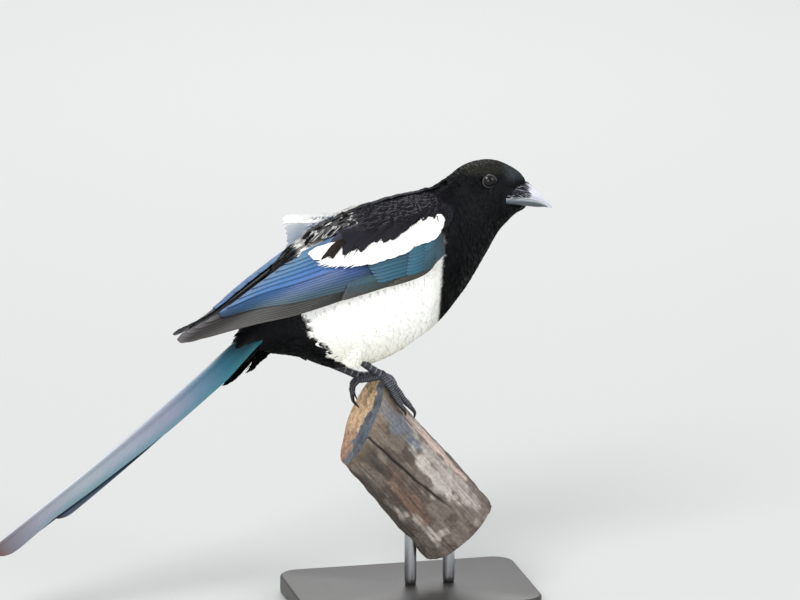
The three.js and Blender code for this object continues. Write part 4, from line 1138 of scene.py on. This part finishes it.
def mantle():
    """Rows of black feathers over the back, and barbs along their outer ends."""
    for side, name in SIDE_NAME.items():
        last = MANTLE_LAST[side]
        u, f = np.meshgrid(np.arange(-0.7, last, 0.1), np.linspace(0.04, 1.0, 13), indexing="ij")
        u, f = u.ravel() + RANDOM.normal(0, 0.03, u.size), f.ravel()
        d = mantle_end(side, u) * f + RANDOM.normal(0, 0.5, u.size)
        d = d + RANDOM.uniform(-1.5, 1.5, u.size) * (f > 0.95)
        # Painted sheen: each feather of the back takes a random share of the lighter sheen colour
        tint = mix(MANTLE, MANTLE_SHEEN, (RANDOM.uniform(0, 1, u.size) * 0.25)[:, None])
        part = on_mantle(side, u, d, RANDOM.uniform(14, 20, u.size), RANDOM.uniform(6, 9, u.size),
                         mix(0.15, 1.2, f), -1.2, RANDOM.uniform(0.0, 0.15, u.size), CONTOUR_LEAF, tint)
        piece(f"mantle_{name}_feathers", part, *BLACK_DRESS)
        n = COUNTS["mantle"]
        u, f = RANDOM.uniform(-0.4, last, n), RANDOM.uniform(0.8, 1, n)
        d = mantle_end(side, u) * f + RANDOM.uniform(-1, 3.5, n) * (f > 0.85)
        tint = MANTLE * RANDOM.uniform(0.8, 1.1, n)[:, None]
        part = on_mantle(side, u, d, RANDOM.uniform(8, 14, n), RANDOM.uniform(0.4, 0.9, n),
                         mix(0.2, 1.25, f) + RANDOM.normal(0, 0.08, n), -0.4, RANDOM.uniform(0.1, 0.4, n),
                         WISP_LEAF, tint, curl=0)
        piece(f"mantle_{name}_wisps", part, *BLACK_DRESS)


def ruffled_back():
    """The disordered grey, white, brown and black feathers where the mantle ends."""
    for side, name in SIDE_NAME.items():
        n = COUNTS["ruffled"]
        u = RANDOM.uniform(2.7, 3.9, n)
        d = RANDOM.uniform(0.0, 0.55, n) * mantle_end(side, u)
        chance = RANDOM.random((n, 1))
        tint = np.where(chance < 0.5, RUMP_GREY * 0.3, np.where(chance < 0.68, WHITE * 0.6, BROWN * 0.4))
        tint = np.where(chance > 0.78, DEEP_BLACK, tint)
        part = on_mantle(side, u, d, RANDOM.uniform(8, 12, n), RANDOM.uniform(3, 5, n),
                         RANDOM.normal(0.5, 0.25, n), -1.0, RANDOM.uniform(0.3, 2.2, n), CONTOUR_LEAF,
                         tint * RANDOM.uniform(0.8, 1.1, (n, 1)))
        piece(f"back_{name}_ruffled", part, WHITE_COAT, "plumage_black")
        u, before, width, length, angle = LOBES.T
        tint = np.stack([MANTLE_SHEEN * 2.0, MANTLE_SHEEN * 1.6, BROWN * 0.35, BROWN * 0.3])
        part = on_mantle(side, u, mantle_end(side, u) - before, length, width, angle,
                         -0.8, LOBE_LIFT, LOBE_LEAF, tint, curl=0.5)
        piece(f"back_{name}_lobes", part, *BLACK_DRESS)


# Tail

# Colours along a tail feather from its root: teal, then a pale blue-grey that is partly the tail's own
# iridescent colour and partly painted reflection of the sky, and a brown tip
TAIL_PLACES = (0, 18, 40, 62, 100, 140, 175, 200, 217)
TAIL_TINTS = ramp((16, 56, 66), (36, 92, 112), (86, 116, 138), (124, 130, 150), (136, 144, 158),
                  (140, 150, 158), (132, 134, 146), (104, 102, 112), (96, 64, 48))
TAIL_WIDTH_AT = (0, 75, 105, 140, 170, 200, 217)
TAIL_WIDTH = (20.5, 20, 18, 16.4, 14.6, 16.2, 15)
# Green sheen of the outer half of each vane, its brown rim, the painted highlight along the ridge down the
# middle, and the painted shade of the covered vanes
TAIL_GREEN, TAIL_RIM, TAIL_CREST_HIGHLIGHT = colour(50, 112, 122), colour(84, 56, 48), colour(236, 238, 242)
# Painted shade: dark blue for the tail feathers covered by the middle pair
TAIL_UNDER_SHADE = colour(30, 38, 62)
# Tufts over and under the tail's root. tips, and the lift high there, are for the side and for the middle;
# roots is the lift at the roots, reach the half width, and back how much farther up the left side ends.
COVERS = {
    "upper": dict(count=300, tips=(-13, 5), rough=1, length=(16, 24),
                  roots=-4.5, high=(1.2, 3.2), reach=15, back=9),
    "under": dict(count=320, tips=(26, 37), rough=4, length=(18, 28),
                  roots=-6, high=(-8.5, -13), reach=14, back=0),
    "vent": dict(count=340, tips=(-3, 14), rough=4, length=(16, 26),
                 roots=-8, high=(-10, -22), reach=12, back=0),
}


def tail_vane(pair, side, order):
    """One tail feather. The middle pair shows whole, with a painted highlight along the ridge down the middle
    of the tail.
    """
    length, at_body, at_end = TAIL_PAIRS[pair]
    level = -TAIL_LAYER * (float(side == LEFT) if pair == 0 else pair + 1)
    rows, columns = 72, 13
    s = mix(-TAIL_HIDDEN, length, 1 - np.linspace(1, 0, rows) ** 1.35)
    outline = tip_outline(length - s, 13, 0.08)
    reach = mix(at_body, at_end, np.clip(s / TAIL_END, 0, 1))
    start = 0.6
    if pair == 0:
        reach = np.interp(s, TAIL_WIDTH_AT, TAIL_WIDTH)
        start = -TAIL_CROSSING
    half = outline * (reach - start) / 2 * mix(0.65, 1, np.clip((s + TAIL_HIDDEN) / 34, 0, 1))
    middle = (reach + start) / 2
    c = np.linspace(0, 1, columns)
    across = side * mix((middle - half)[:, None], (middle + half)[:, None], c)
    lift = level + 0.25 * np.sin(np.pi * c)[None, :] * outline[:, None]
    ahead = s[:, None] + 0 * c
    tint = blended(TAIL_PLACES, TAIL_TINTS, ahead + RANDOM.uniform(-4, 4))
    tint = paint(tint, TAIL_GREEN, 0.6 * smooth(0.7, 0.97, c)[None, :] * smooth(205, 150, ahead))
    # Painted shade: the feathers under the middle pair darkened towards dark blue
    tint = mix(tint, TAIL_UNDER_SHADE, 0.75 if pair > 0 else 0.0)
    shaft = np.exp(-((c - 0.5) / 0.035) ** 2)[None, :, None]
    tint = mix(tint, tint * 0.6, shaft * 0.5)
    tint = mix(tint, TAIL_RIM, smooth(9, 2, length - ahead)[..., None] * 0.6)
    # Painted highlight: a near-white line along the ridge of the middle pair
    crest_highlight = (np.exp(-((across / 1.4) ** 2)) * smooth(8, 30, ahead) * (pair == 0))[..., None]
    tint = mix(tint, TAIL_CREST_HIGHLIGHT, crest_highlight * 0.95)
    from_shaft = np.abs(c - 0.5)[None, :] * 26
    grain = np.stack([from_shaft - 0.5 * ahead, ahead, 0 * ahead + order * 7.1], axis=-1)
    unwrap = broad_unwrap(order, 2 * len(TAIL_PAIRS), c, (s + TAIL_HIDDEN) / (length + TAIL_HIDDEN))
    return single(tail_at, ahead, across, lift, np.full(across.shape, 0.34), tint, grain, unwrap)


def tail():
    places = itertools.product(range(len(TAIL_PAIRS)), (RIGHT, LEFT))
    vanes = [tail_vane(pair, side, order) for order, (pair, side) in enumerate(places)]
    piece("tail_feathers", joined(vanes), TAIL_VANE, "plumage_tail", "tail")
    for name, cover in COVERS.items():
        tail_cover(name, **cover)


def tail_cover(name, count, tips, rough, length, roots, high, reach, back):
    """Shaggy black feathers over or under the tail's root, given by where their tips lie."""
    share = RANDOM.uniform(-1, 1, count)
    centred = 1 - np.abs(share)
    tip = mix(*tips, centred) + RANDOM.normal(0, rough / 2, count) - RANDOM.uniform(0, 14, count) ** 1.02
    tip = tip - back * np.maximum(share, 0)
    length = RANDOM.uniform(*length, count)
    width = RANDOM.uniform(1.8, 5, count)
    s, c, half, ahead = leaf_grid(length, width, TUFT_LEAF)
    down = col(tip) - col(length) + ahead
    side = col(share) * mix(8, reach, np.clip((down + 20) / 45, 0, 1)) + half
    top = mix(*high, centred) + RANDOM.uniform(-0.6, 0.6, count)
    lift = mix(roots, col(top), smooth(0.1, 0.8, s)) - 0.3 * c**2
    tint = DEEP_BLACK * RANDOM.uniform(0.7, 1.5, count)[:, None]
    corner = 0.5 + 0.45 * col(share), 0.05 + np.clip((col(tip) + 30) / 65, 0, 1) * 0.9
    part = laid(tail_at, down, side, lift, 0.16, tint, c * col(width), down, 3.1, corner, s, c)
    piece("tail_coverts_" + name, part, *BLACK_DRESS)


# Skin under the coat

def skin_depth(t):
    return mix(SKIN_DEPTH["body"], SKIN_DEPTH["head"], smooth(7, 9, t))


def skin():
    """One closed skin of body and thighs, joined by a voxel remesh, under the coat."""
    t, turn = np.meshgrid(np.linspace(0.02, 11.9, 150), full_turn(96), indexing="ij")
    shapes = [body_at(t, turn, -skin_depth(t))]
    s, round_it = np.meshgrid(np.linspace(0, 1.0, 30), full_turn(32), indexing="ij")
    shapes += [thigh_surface(leg)(s, round_it, -1.4 + 0 * s) for leg in LEGS.values()]
    made = piece("skin", joined([tubes(rings, 0 * rings) for rings in shapes]), *BLACK_DRESS,
                 "head", "neck", "torso", "rump", "thigh_right", "thigh_left")
    remesh = made.modifiers.new("one skin", "REMESH")
    remesh.mode = "VOXEL"
    remesh.voxel_size = SKIN_VOXEL
    remesh.use_smooth_shade = True
    fused = bpy.data.meshes.new_from_object(made.evaluated_get(bpy.context.evaluated_depsgraph_get()))
    made.modifiers.clear()
    old, made.data = made.data, fused
    bpy.data.meshes.remove(old)
    fused.name = "skin"
    dress_skin(fused)


def dress_skin(mesh):
    """Eye sockets, room for the bill, the coat's colours and the unwrap of the skin."""
    points = np.zeros(len(mesh.vertices) * 3, np.float32)
    mesh.vertices.foreach_get("co", points)
    points = points.reshape(-1, 3).astype(float) * 1000 - FEET
    x, z = points[:, 0], points[:, 2]
    beside_bill = smooth(80, 85, x) * smooth(119.5, 122.5, z) * smooth(133, 129.5, z)
    points[:, 1] *= 1 - 0.3 * beside_bill
    socket = near_eye(points, EYE["opening"] + 0.5) & (np.abs(points[:, 1]) > 7)
    points[socket, 1] = np.clip(points[socket, 1], -10.5, 10.5)
    mesh.vertices.foreach_set("co", ((points + FEET) / 1000).astype(np.float32).ravel())
    mesh.materials.clear()
    mesh.materials.append(BLACK_COAT)
    give_tint(mesh, coat_tint(points, np.full(len(points), 0.4)) * 0.8)
    give(mesh, "grain", "FLOAT_VECTOR", "vector", points * np.array([0.3, 1, 1]))
    loops = np.zeros(len(mesh.loops), np.int32)
    mesh.loops.foreach_get("vertex_index", loops)
    starts = np.zeros(len(mesh.polygons), np.int32)
    mesh.polygons.foreach_get("loop_start", starts)
    give_unwrap(mesh, unrolled(skin_unwrap(points)[loops], starts))
    mesh.update()


def unrolled(uv, starts):
    """The unwrap of the skin's corners, with faces over the seam of the belly kept whole."""
    owner = np.searchsorted(starts, np.arange(len(uv)), side="right") - 1
    widest = np.full(len(starts), -1.0)
    np.maximum.at(widest, owner, uv[:, 0])
    uv[(widest[owner] > 0.7) & (uv[:, 0] < 0.25), 0] += 0.95
    return uv * np.array([0.98, 1])


def body_axes(stations):
    """The middle of the body at stations, its way up there and its way along, as x and z."""
    s = along(BODY, stations)
    up = unit(s[:, 0:2] - s[:, 2:4])
    return (s[:, 0:2] + s[:, 2:4]) / 2, up, np.stack([up[:, 1], -up[:, 0]], axis=-1)


def skin_unwrap(points):
    """Turn and station of points near the body, as shares."""
    stations = np.linspace(0, 12, 241)
    flat = points[:, [0, 2]]
    best, found = np.full(len(points), np.inf), np.zeros(len(points))
    for station, middle, _, ahead in zip(stations, *body_axes(stations)):
        score = np.abs(((flat - middle) * ahead).sum(axis=1)) + 0.05 * np.linalg.norm(flat - middle, axis=1)
        closer = score < best
        best[closer], found[closer] = score[closer], station
    middle, up, ahead = body_axes(found)
    high = ((flat - middle) * up).sum(axis=1)
    slide = ((flat - middle) * ahead).sum(axis=1)
    turn = np.arctan2(points[:, 1], high) % (2 * np.pi)
    return paired(turn / (2 * np.pi) * 0.95, np.clip((found + slide / 14) / 12, 0, 1) * 0.95 + 0.02)


def thigh_feathers():
    for side, leg in LEGS.items():
        n = COUNTS["thigh"]
        s0, turn = RANDOM.uniform(0.0, 0.95, n), RANDOM.uniform(0, 2 * np.pi, n)
        span = np.linalg.norm(np.subtract(leg["knee"][:3], leg["hip"][:3]))
        length = RANDOM.uniform(7, 12, n)
        s, c, half, ahead = leaf_grid(length, RANDOM.uniform(1.2, 3.2, n), TUFT_LEAF)
        a = np.minimum(col(s0) + ahead / span, 1.12)
        lift = mix(-1.4, 0.3, s) + col(RANDOM.uniform(0, 0.6, n)) * s - 0.3 * c**2
        tint = coat_tint(thigh_surface(leg)(s0, turn), RANDOM.random(n))
        corner = 0.02 + 0.93 * col(turn) / (2 * np.pi), 0.02 + 0.93 * col(s0)
        b = col(turn) + half / 9
        part = laid(thigh_surface(leg), a, b, lift, SOFT_THICK, tint, half, span * a, 3.3, corner, s, c)
        piece(f"thigh_{SIDE_NAME[side]}_feathers", part, *BLACK_DRESS)


# Legs, branch and stand

def branch_radius(s, angle):
    ridges = 0.022 * np.sin(3 * angle + s / 23) + 0.014 * np.sin(7 * angle - s / 31)
    return BRANCH["radius"] * (1 + ridges + 0.02 * np.sin(s / 17))


def on_branch(s, angle, lift=0.0, share=1.0):
    """A point down the branch's axis, turned from its crest towards the bird's left."""
    fall = BRANCH["fall"]
    s, angle = np.asarray(s, float), np.asarray(angle, float)
    r = branch_radius(s, angle) * share + lift
    x = BRANCH["x"] + math.cos(fall) * s + math.sin(fall) * r * np.cos(angle)
    z = BRANCH["z"] - math.sin(fall) * s + math.cos(fall) * r * np.cos(angle)
    return np.stack([x, r * np.sin(angle) + 0 * s, z], axis=-1)


def break_at(angle, share):
    """How far down the axis the slanting broken end lies."""
    slope, fall = BREAK["slope"], BRANCH["fall"]
    away = np.array([-math.sin(slope), 0, math.cos(slope)])
    down = np.array([math.cos(fall), 0, -math.sin(fall)])
    start = on_branch(0 * angle, angle, 0.0, share) - np.array([BREAK["x"], 0, BREAK["z"]])
    return -(start @ away) / (down @ away)


# Toes' joints and, last, two points of the claw: millimetres down the branch, degrees round it and lift. For
# the hind toes they are x, y and z.
TOES = {
    RIGHT: {
        "inner": ((-60, -25, 3), (-52, -29, 2.6), (-46, -30, 2.3), (-41, -31, 2.2), (-38, -31, 0.6)),
        "middle": ((-58, -15, 3.6), (-47, -13, 3.2), (-38, -12, 3.8), (-32.5, -11, 3.6), (-29.5, -11, 0.7)),
        "outer": ((-60, -4, 3.6), (-53, 4, 3.2), (-46, 8, 2.6), (-41, 10, 2.3), (-38, 11, 0.6)),
        "hind": ((-7, -9, 12.2), (-15, -8, 11), (-18.6, -8, 5.5), (-16, -8, -2)),
    },
    LEFT: {
        "inner": ((-63, 17, 3.8), (-56, 25, 2.9), (-49, 27, 2.4), (-44, 28, 2), (-41, 28, 0.6)),
        "middle": ((-62, 30, 3.8), (-54, 38, 2.8), (-44, 42, 2.4), (-39, 43, 2), (-36, 44, 0.6)),
        "outer": ((-59, 46, 3.8), (-52, 55, 2.6), (-46, 60, 2.4), (-41, 62, 2), (-38, 63, 0.6)),
        "hind": ((-13, 14.5, 3.4), (-14.4, 14, -3), (-13.6, 14, -9), (-9.6, 14, -14)),
    },
}


def toe_point(toe, place):
    return np.array(place, float) if toe == "hind" else on_branch(place[0], math.radians(place[1]), place[2])


def tube_along(path, radii, steps, sides, tint_of, relief=None):
    """A tube through points with the given radii; relief(share, turn) lifts its surface."""
    path = np.array(path, float)
    t = np.linspace(0, len(path) - 1, steps)
    forward = unit(along(path, np.minimum(t + 0.02, len(path) - 1)) - along(path, np.maximum(t - 0.02, 0)))
    side = unit(np.array([0, 1, 0]) - forward * forward[:, 1:2])
    up = np.cross(forward, side)
    up = up if up[:, 2].mean() > 0 else -up
    share, a = np.broadcast_arrays(np.linspace(0, 1, steps)[:, None], full_turn(sides))
    radius = np.interp(share, np.linspace(0, 1, len(radii)), radii)
    if relief:
        radius = radius + relief(share, a)
    round_it = side[:, None] * (radius * np.cos(a))[..., None] + up[:, None] * (radius * np.sin(a))[..., None]
    return tubes(along(path, t)[:, None] + round_it, tint_of(share, a))


# Dark scaly skin of the legs, and the colour of the painted highlights on its scutes
LEG_DARK, LEG_HIGHLIGHT = colour(30, 33, 39), colour(142, 150, 162)
TOE_RADII = (2.5, 2.3, 2.5, 2.1, 2.35, 1.9, 2.0, 1.4)
SHANK_RADII, CLAW_RADII = (2.9, 2.35, 2.25, 2.35, 2.9), (1.65, 1.4, 1.1, 0.75, 0.2)


def scutes(count, depth):
    """Overlapping plates along the upper side of a toe or a shank."""
    def relief(share, turn):
        saw = (share * count) % 1
        upper = smooth(-0.95, -0.2, np.sin(turn))
        beads = 0.25 * depth * np.sin(turn * 9) * np.sin(share * count * 2 * np.pi)
        return depth * (1 - saw) ** 1.5 * upper + beads * (1 - upper)
    return relief


def scute_tint(count):
    def tint(share, turn):
        saw = (share * count) % 1
        # Painted highlight: the front edge of each scute lighter on the upper side of the toe or shank
        light = smooth(0.3, 0.0, saw) * smooth(-0.95, 0.2, np.sin(turn))
        return mix(LEG_DARK, LEG_HIGHLIGHT, light[..., None] * 0.7)
    return tint


def legs():
    black = lambda share, turn: paint(colour(30, 30, 34), colour(10, 10, 12), share)
    for side, leg in LEGS.items():
        name = SIDE_NAME[side]
        pad, heel = np.array(leg["pad"], float), np.array(leg["heel"], float)
        path = [pad, mix(pad, heel, 0.5), heel]
        shank = tube_along(path, SHANK_RADII, 120, 28, scute_tint(11), scutes(11, 0.3))
        piece(f"tarsus_{name}_shank", shank, LEG_SCALE, "leg", f"tarsus_{name}")
        parts, claws = [], {}
        for toe, places in TOES[side].items():
            points = [toe_point(toe, place) for place in places]
            path, claw = points[:-2], points[-3:]
            count = 5 + 5 * len(path)
            parts.append(tube_along([pad, *path], TOE_RADII, 150, 26, scute_tint(count), scutes(count, 0.6)))
            claws[toe] = tube_along(claw, CLAW_RADII, 40, 18, black)
        parts.append(knuckle(pad))
        piece(f"foot_{name}_toes", joined(parts), LEG_SCALE, "leg", f"foot_{name}")
        for toe, part in claws.items():
            piece(f"claw_{name}_{toe}_horn", part, HORN, "bill", f"claw_{name}_{toe}")


def knuckle(centre):
    turn, tip = sphere(40, 30, 0.03)
    out = np.stack([np.sin(tip) * np.cos(turn), np.sin(tip) * np.sin(turn), np.cos(tip)], axis=-1)
    r = 3.5 + 0.18 * value_noise(out * 7)
    return tubes(centre + out * r[..., None], plain(LEG_DARK, out))


WOOD_GREY, WOOD_BROWN = colour(108, 99, 91), colour(82, 71, 64)
WOOD_TAN, WOOD_PALE, WOOD_BLUE = colour(206, 176, 140), colour(184, 176, 168), colour(98, 104, 114)
WOOD_ROSY, WOOD_HOLLOW, WOOD_CRACK = colour(168, 130, 112), colour(60, 44, 34), colour(26, 21, 19)
# Patches on the branch: place along it and angle in degrees, half length, half angle, colour, strength
WOOD_PATCHES = (
    (-40, -50, 26, 15, WOOD_BLUE, 0.9),
    (0, -115, 24, 14, colour(116, 90, 76), 0.55),
    (-40, -119, 20, 16, colour(56, 52, 50), 0.85),
    (4, -64, 27, 9, colour(192, 186, 178), 0.75),
    (16, -44, 32, 16, colour(174, 166, 160), 0.7),
    (-12, -18, 40, 16, colour(198, 178, 168), 0.8),
    (0, -172, 62, 24, colour(58, 50, 46), 0.7),
)
LOG_SIDES, LOG_ROWS, LOG_END_ROWS = 340, 230, 60
# The long crack, as places along the branch and angles in degrees. Its groove is painted nearly black as
# shade.
CRACK_S, CRACK_ANGLE = (-59, -51, -28, -0.5, 9, 32), (-99, -99, -94, -87, -83, -75)


def log_tint(s, angle, end):
    """Colours of the weathered wood: grey-brown sides with streaks, named patches and a tan broken end."""
    at = np.stack([s / 11, angle * 3.2, 0 * s + 2], axis=-1)
    blotch = layered_noise(at, 3, 5)
    tint = paint(WOOD_GREY, WOOD_BROWN, smooth(-0.2, 0.5, blotch))
    pale = layered_noise(at * 0.9 + 9, 3, 17)
    tint = mix(tint, WOOD_PALE, smooth(0.45, 0.9, pale)[..., None] * 0.6)
    ragged = 0.4 * layered_noise(at * 1.4 + 31, 3, 23)
    for place, degrees, half_length, half_degrees, shade, strength in WOOD_PATCHES:
        off = (np.degrees(angle) - degrees + 180) % 360 - 180
        away = np.hypot((s - place) / half_length, off / half_degrees) + ragged
        tint = mix(tint, shade, strength * smooth(1.15, 0.7, away)[..., None])
    streak = value_noise(np.stack([s / 26, angle * 34, 0 * s], axis=-1), 3)
    thin = value_noise(np.stack([s / 12, angle * 90, 0 * s], axis=-1), 6)
    tint = tint * (0.74 + 0.3 * smooth(-0.6, 0.6, streak) + 0.22 * smooth(-0.5, 0.6, thin))[..., None]
    return paint(tint, WOOD_TAN * (0.8 + 0.25 * blotch)[..., None], end)


def log_side(angle):
    """Rings and their tints down the fibrous sides of the branch, from the broken end, with the crack."""
    share = np.linspace(0, 1, LOG_ROWS)[:, None]
    s = mix(break_at(angle, 1.0)[None, :], BRANCH["bottom"], share)
    a = angle[None, :] + 0 * s
    fibre = value_noise(np.stack([s / 30, a * 30, 0 * s], axis=-1), 1)
    fine = value_noise(np.stack([s / 9, a * 75, 0 * s + 4], axis=-1), 2)
    lumps = layered_noise(np.stack([s / 16, a * 2.4, 0 * s + 8], axis=-1), 3, 7)
    crack_at = np.radians(np.interp(s, CRACK_S, CRACK_ANGLE)) + 0.006 * np.sin(s / 3)
    off = np.abs((a - crack_at + np.pi) % (2 * np.pi) - np.pi)
    crack = smooth(0.045, 0.01, off) * smooth(-60, -54, s) * smooth(34, 14, s)
    lift = (0.45 * fibre + 0.2 * fine + 0.7 * lumps - 0.5 - 1.6 * crack) * smooth(0.0, 0.025, share)
    tint = log_tint(s, a, (1 - share) ** 12 * 0.25)
    # Painted shade: the crack's groove darkened nearly to black
    return on_branch(s, a, lift), paint(tint, WOOD_CRACK, crack * 0.9)


def log_face(angle):
    """Rings and their tints over the crumbly broken end, with its hollow, bluish on the near side."""
    share = np.linspace(0.02, 1, LOG_END_ROWS)[:, None] + 0 * angle
    down, aside = share * np.cos(angle), share * np.sin(angle)
    grain = layered_noise(np.stack([down * 9, aside * 9, 0 * share], -1), 4, 12)
    depth = break_at(angle[None] + 0 * share, share) + (0.9 - 1.6 * grain) * smooth(1.0, 0.9, share) * 0.9
    face = on_branch(depth, angle[None] + 0 * share, 0.0, share)
    hollow = np.exp(-((down - 0.45) ** 2 + (aside + 0.2) ** 2) / 0.018)
    face = face + np.array([math.cos(BRANCH["fall"]), 0, -math.sin(BRANCH["fall"])]) * (hollow * 4)[..., None]
    tint = WOOD_TAN * (0.75 + 0.4 * smooth(-0.5, 0.6, grain))[..., None]
    tint = paint(tint, WOOD_ROSY * (0.8 + 0.3 * grain)[..., None], smooth(0.1, -0.9, down))
    tint = paint(tint, WOOD_HOLLOW, smooth(0.3, 0.9, hollow))
    near = smooth(-2, -5, face[..., 1] + 5 * layered_noise(face / 6, 2, 31))
    return face, paint(tint, WOOD_BLUE * (0.85 + 0.3 * grain)[..., None], near)


def perch():
    """The length of branch: weathered sides and a slanting broken end."""
    angle = full_turn(LOG_SIDES)
    rings, tints = (np.concatenate(both) for both in zip(log_face(angle), log_side(angle)))
    piece("perch_log", tubes(rings, tints), BARK, "perch_wood", "perch")


def rounded_outline(length, width, corner, steps=16):
    """The outline of a plate with round corners, as x and y."""
    turn = (np.arange(4)[:, None] * np.pi / 2 + np.linspace(0, np.pi / 2, steps)).ravel()
    side_x, side_y = (np.repeat(signs, steps) for signs in ((1, -1, -1, 1), (1, 1, -1, -1)))
    return np.stack([side_x * (length / 2 - corner) + corner * np.cos(turn),
                     side_y * (width / 2 - corner) + corner * np.sin(turn)], axis=-1)


def base_rings():
    """Outlines up through the base plate, with a rounded bevel at its lower and upper edges."""
    turn = np.linspace(0, np.pi / 2, 7)
    inset, rise = BASE["bevel"] * (1 - np.sin(turn)), BASE["bevel"] * (1 - np.cos(turn))
    rings = []
    for z, inward in zip([*rise, *(BASE["height"] - rise[::-1])], [*inset, *inset[::-1]]):
        length, width = BASE["length"] - 2 * inward, BASE["width"] - 2 * inward
        outline = rounded_outline(length, width, BASE["corner"] - inward)
        rings.append(np.column_stack([outline, np.full(len(outline), z)]) - FEET)
    return np.array(rings)


def stand():
    rings = base_rings()
    plate = tubes(rings, plain(colour(52, 49, 46), rings))
    piece("stand_base_plate", plate, STAND_WOOD, "base_wood", "stand_base")
    for k, x in enumerate(RODS):
        low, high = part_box(f"stand_rod_{k + 1}")
        tube = rod_tube(x, low.z * 1000 - FEET[2], high.z * 1000 - FEET[2])
        piece(f"stand_rod_{k + 1}_bar", tube, STEEL, "steel", f"stand_rod_{k + 1}")


def rod_tube(x, bottom, top):
    a, z = full_turn(48), np.linspace(bottom, top, 12)[:, None]
    radius = np.full(z.shape, ROD_RADIUS - 0.02)
    radius[0] = radius[-1] = ROD_RADIUS - 0.4
    rings = np.stack([x + radius * np.cos(a), radius * np.sin(a), z + 0 * a], axis=-1)
    return tubes(rings, plain(colour(178, 180, 184), rings))


# Camera, floor and light

AZIMUTH, ELEVATION = math.radians(-13), math.radians(15)
# What the camera looks at: a place of the bird, and how far right and up of it in pixels of scale millimetres
AIM = {"x": -22, "z": 146, "right": 22, "up": 92, "scale": 0.66}
CAMERA_FAR, LENS = 5.87, 400.2
# Place and size in metres, and power in watts
LIGHTS = {
    "key": ((-1.6, -1.9, 2.3), 1.5, 66),
    "low": ((-0.5, -2.3, 0.35), 1.2, 13),
    "fill": ((1.9, -1.6, 1.1), 1.6, 22),
    "back": ((0.4, 2.0, 1.9), 1.4, 34),
}
LIT_AT = Vector((0, 0, 0.2))
WORLD_COLOUR, WORLD_STRENGTH = (0.97, 0.98, 1.0, 1), 0.62
FLOOR_HALF, FLOOR_Z = 14, -0.0005


def placed(name, data, place, towards):
    """A camera or a light at a place, turned along a direction."""
    made = bpy.data.objects.new(name, data)
    made.location = place
    made.rotation_euler = Vector(towards).to_track_quat("-Z", "Y").to_euler()
    bpy.context.scene.collection.objects.link(made)
    return made


def studio():
    """Camera, floor, lights and a pale world."""
    level = math.cos(ELEVATION)
    away = np.array([math.sin(AZIMUTH) * level, -math.cos(AZIMUTH) * level, math.sin(ELEVATION)])
    right = np.array([math.cos(AZIMUTH), math.sin(AZIMUTH), 0])
    up = np.cross(away, right)
    foot = np.array([AIM["x"], 0, AIM["z"]]) / 1000
    centre = foot + (right * AIM["right"] + up * AIM["up"]) * AIM["scale"] / 1000
    lens = bpy.data.cameras.new("camera")
    lens.lens = LENS
    lens.sensor_width = 36
    lens.clip_start, lens.clip_end = 0.5, 50
    scene = bpy.context.scene
    scene.camera = placed("camera", lens, centre + away * CAMERA_FAR, -away)
    scene.view_settings.view_transform = "Standard"
    floor()
    for name, (place, size, power) in LIGHTS.items():
        light = bpy.data.lights.new(name, "AREA")
        light.shape = "DISK"
        light.size = size
        light.energy = power
        placed(name, light, place, LIT_AT - Vector(place))
    scene.world = bpy.data.worlds.new("studio")
    scene.world.use_nodes = True
    background = scene.world.node_tree.nodes["Background"]
    background.inputs["Color"].default_value = WORLD_COLOUR
    background.inputs["Strength"].default_value = WORLD_STRENGTH


def floor():
    mesh = bpy.data.meshes.new("floor")
    corners = [(x * FLOOR_HALF, y * FLOOR_HALF, FLOOR_Z) for x, y in ((-1, -1), (1, -1), (1, 1), (-1, 1))]
    mesh.from_pydata(corners, [], [(0, 1, 2, 3)])
    made = bpy.data.objects.new("floor", mesh)
    material, _, shader = new_material("floor_paint")
    set_shader(shader, Base_Color=(0.56, 0.57, 0.56, 1), Roughness=0.9)
    mesh.materials.append(material)
    bpy.context.scene.collection.objects.link(made)


studio()
skin()
contour_coat()
wisps("down_rump", 2000, (0.6, 1.7), (8, 15), (0.5, 1.0), (0.1, 1.0), 0.25)
wisps("down_torso", 3000, (1.7, 5.8), (6, 11), (0.35, 0.7), (0.1, 0.6), 0.16)
wisps("down_white", 600, (1.7, 7), (7, 12), (0.35, 0.7), (-0.1, 0.15), 0.1, white=True)
wisps("down_neck", 3600, (5.8, 8.0), (5, 9), (0.25, 0.5), (0.0, 0.45), 0.14)
wisps("down_head", 5200, (8.0, 11.7), (4, 7), (0.2, 0.36), (0.0, 0.25), 0.14)
nose_bristles()
bill()
eyes()
wings()
scapulars()
mantle()
ruffled_back()
tail()
thigh_feathers()
legs()
perch()
stand()
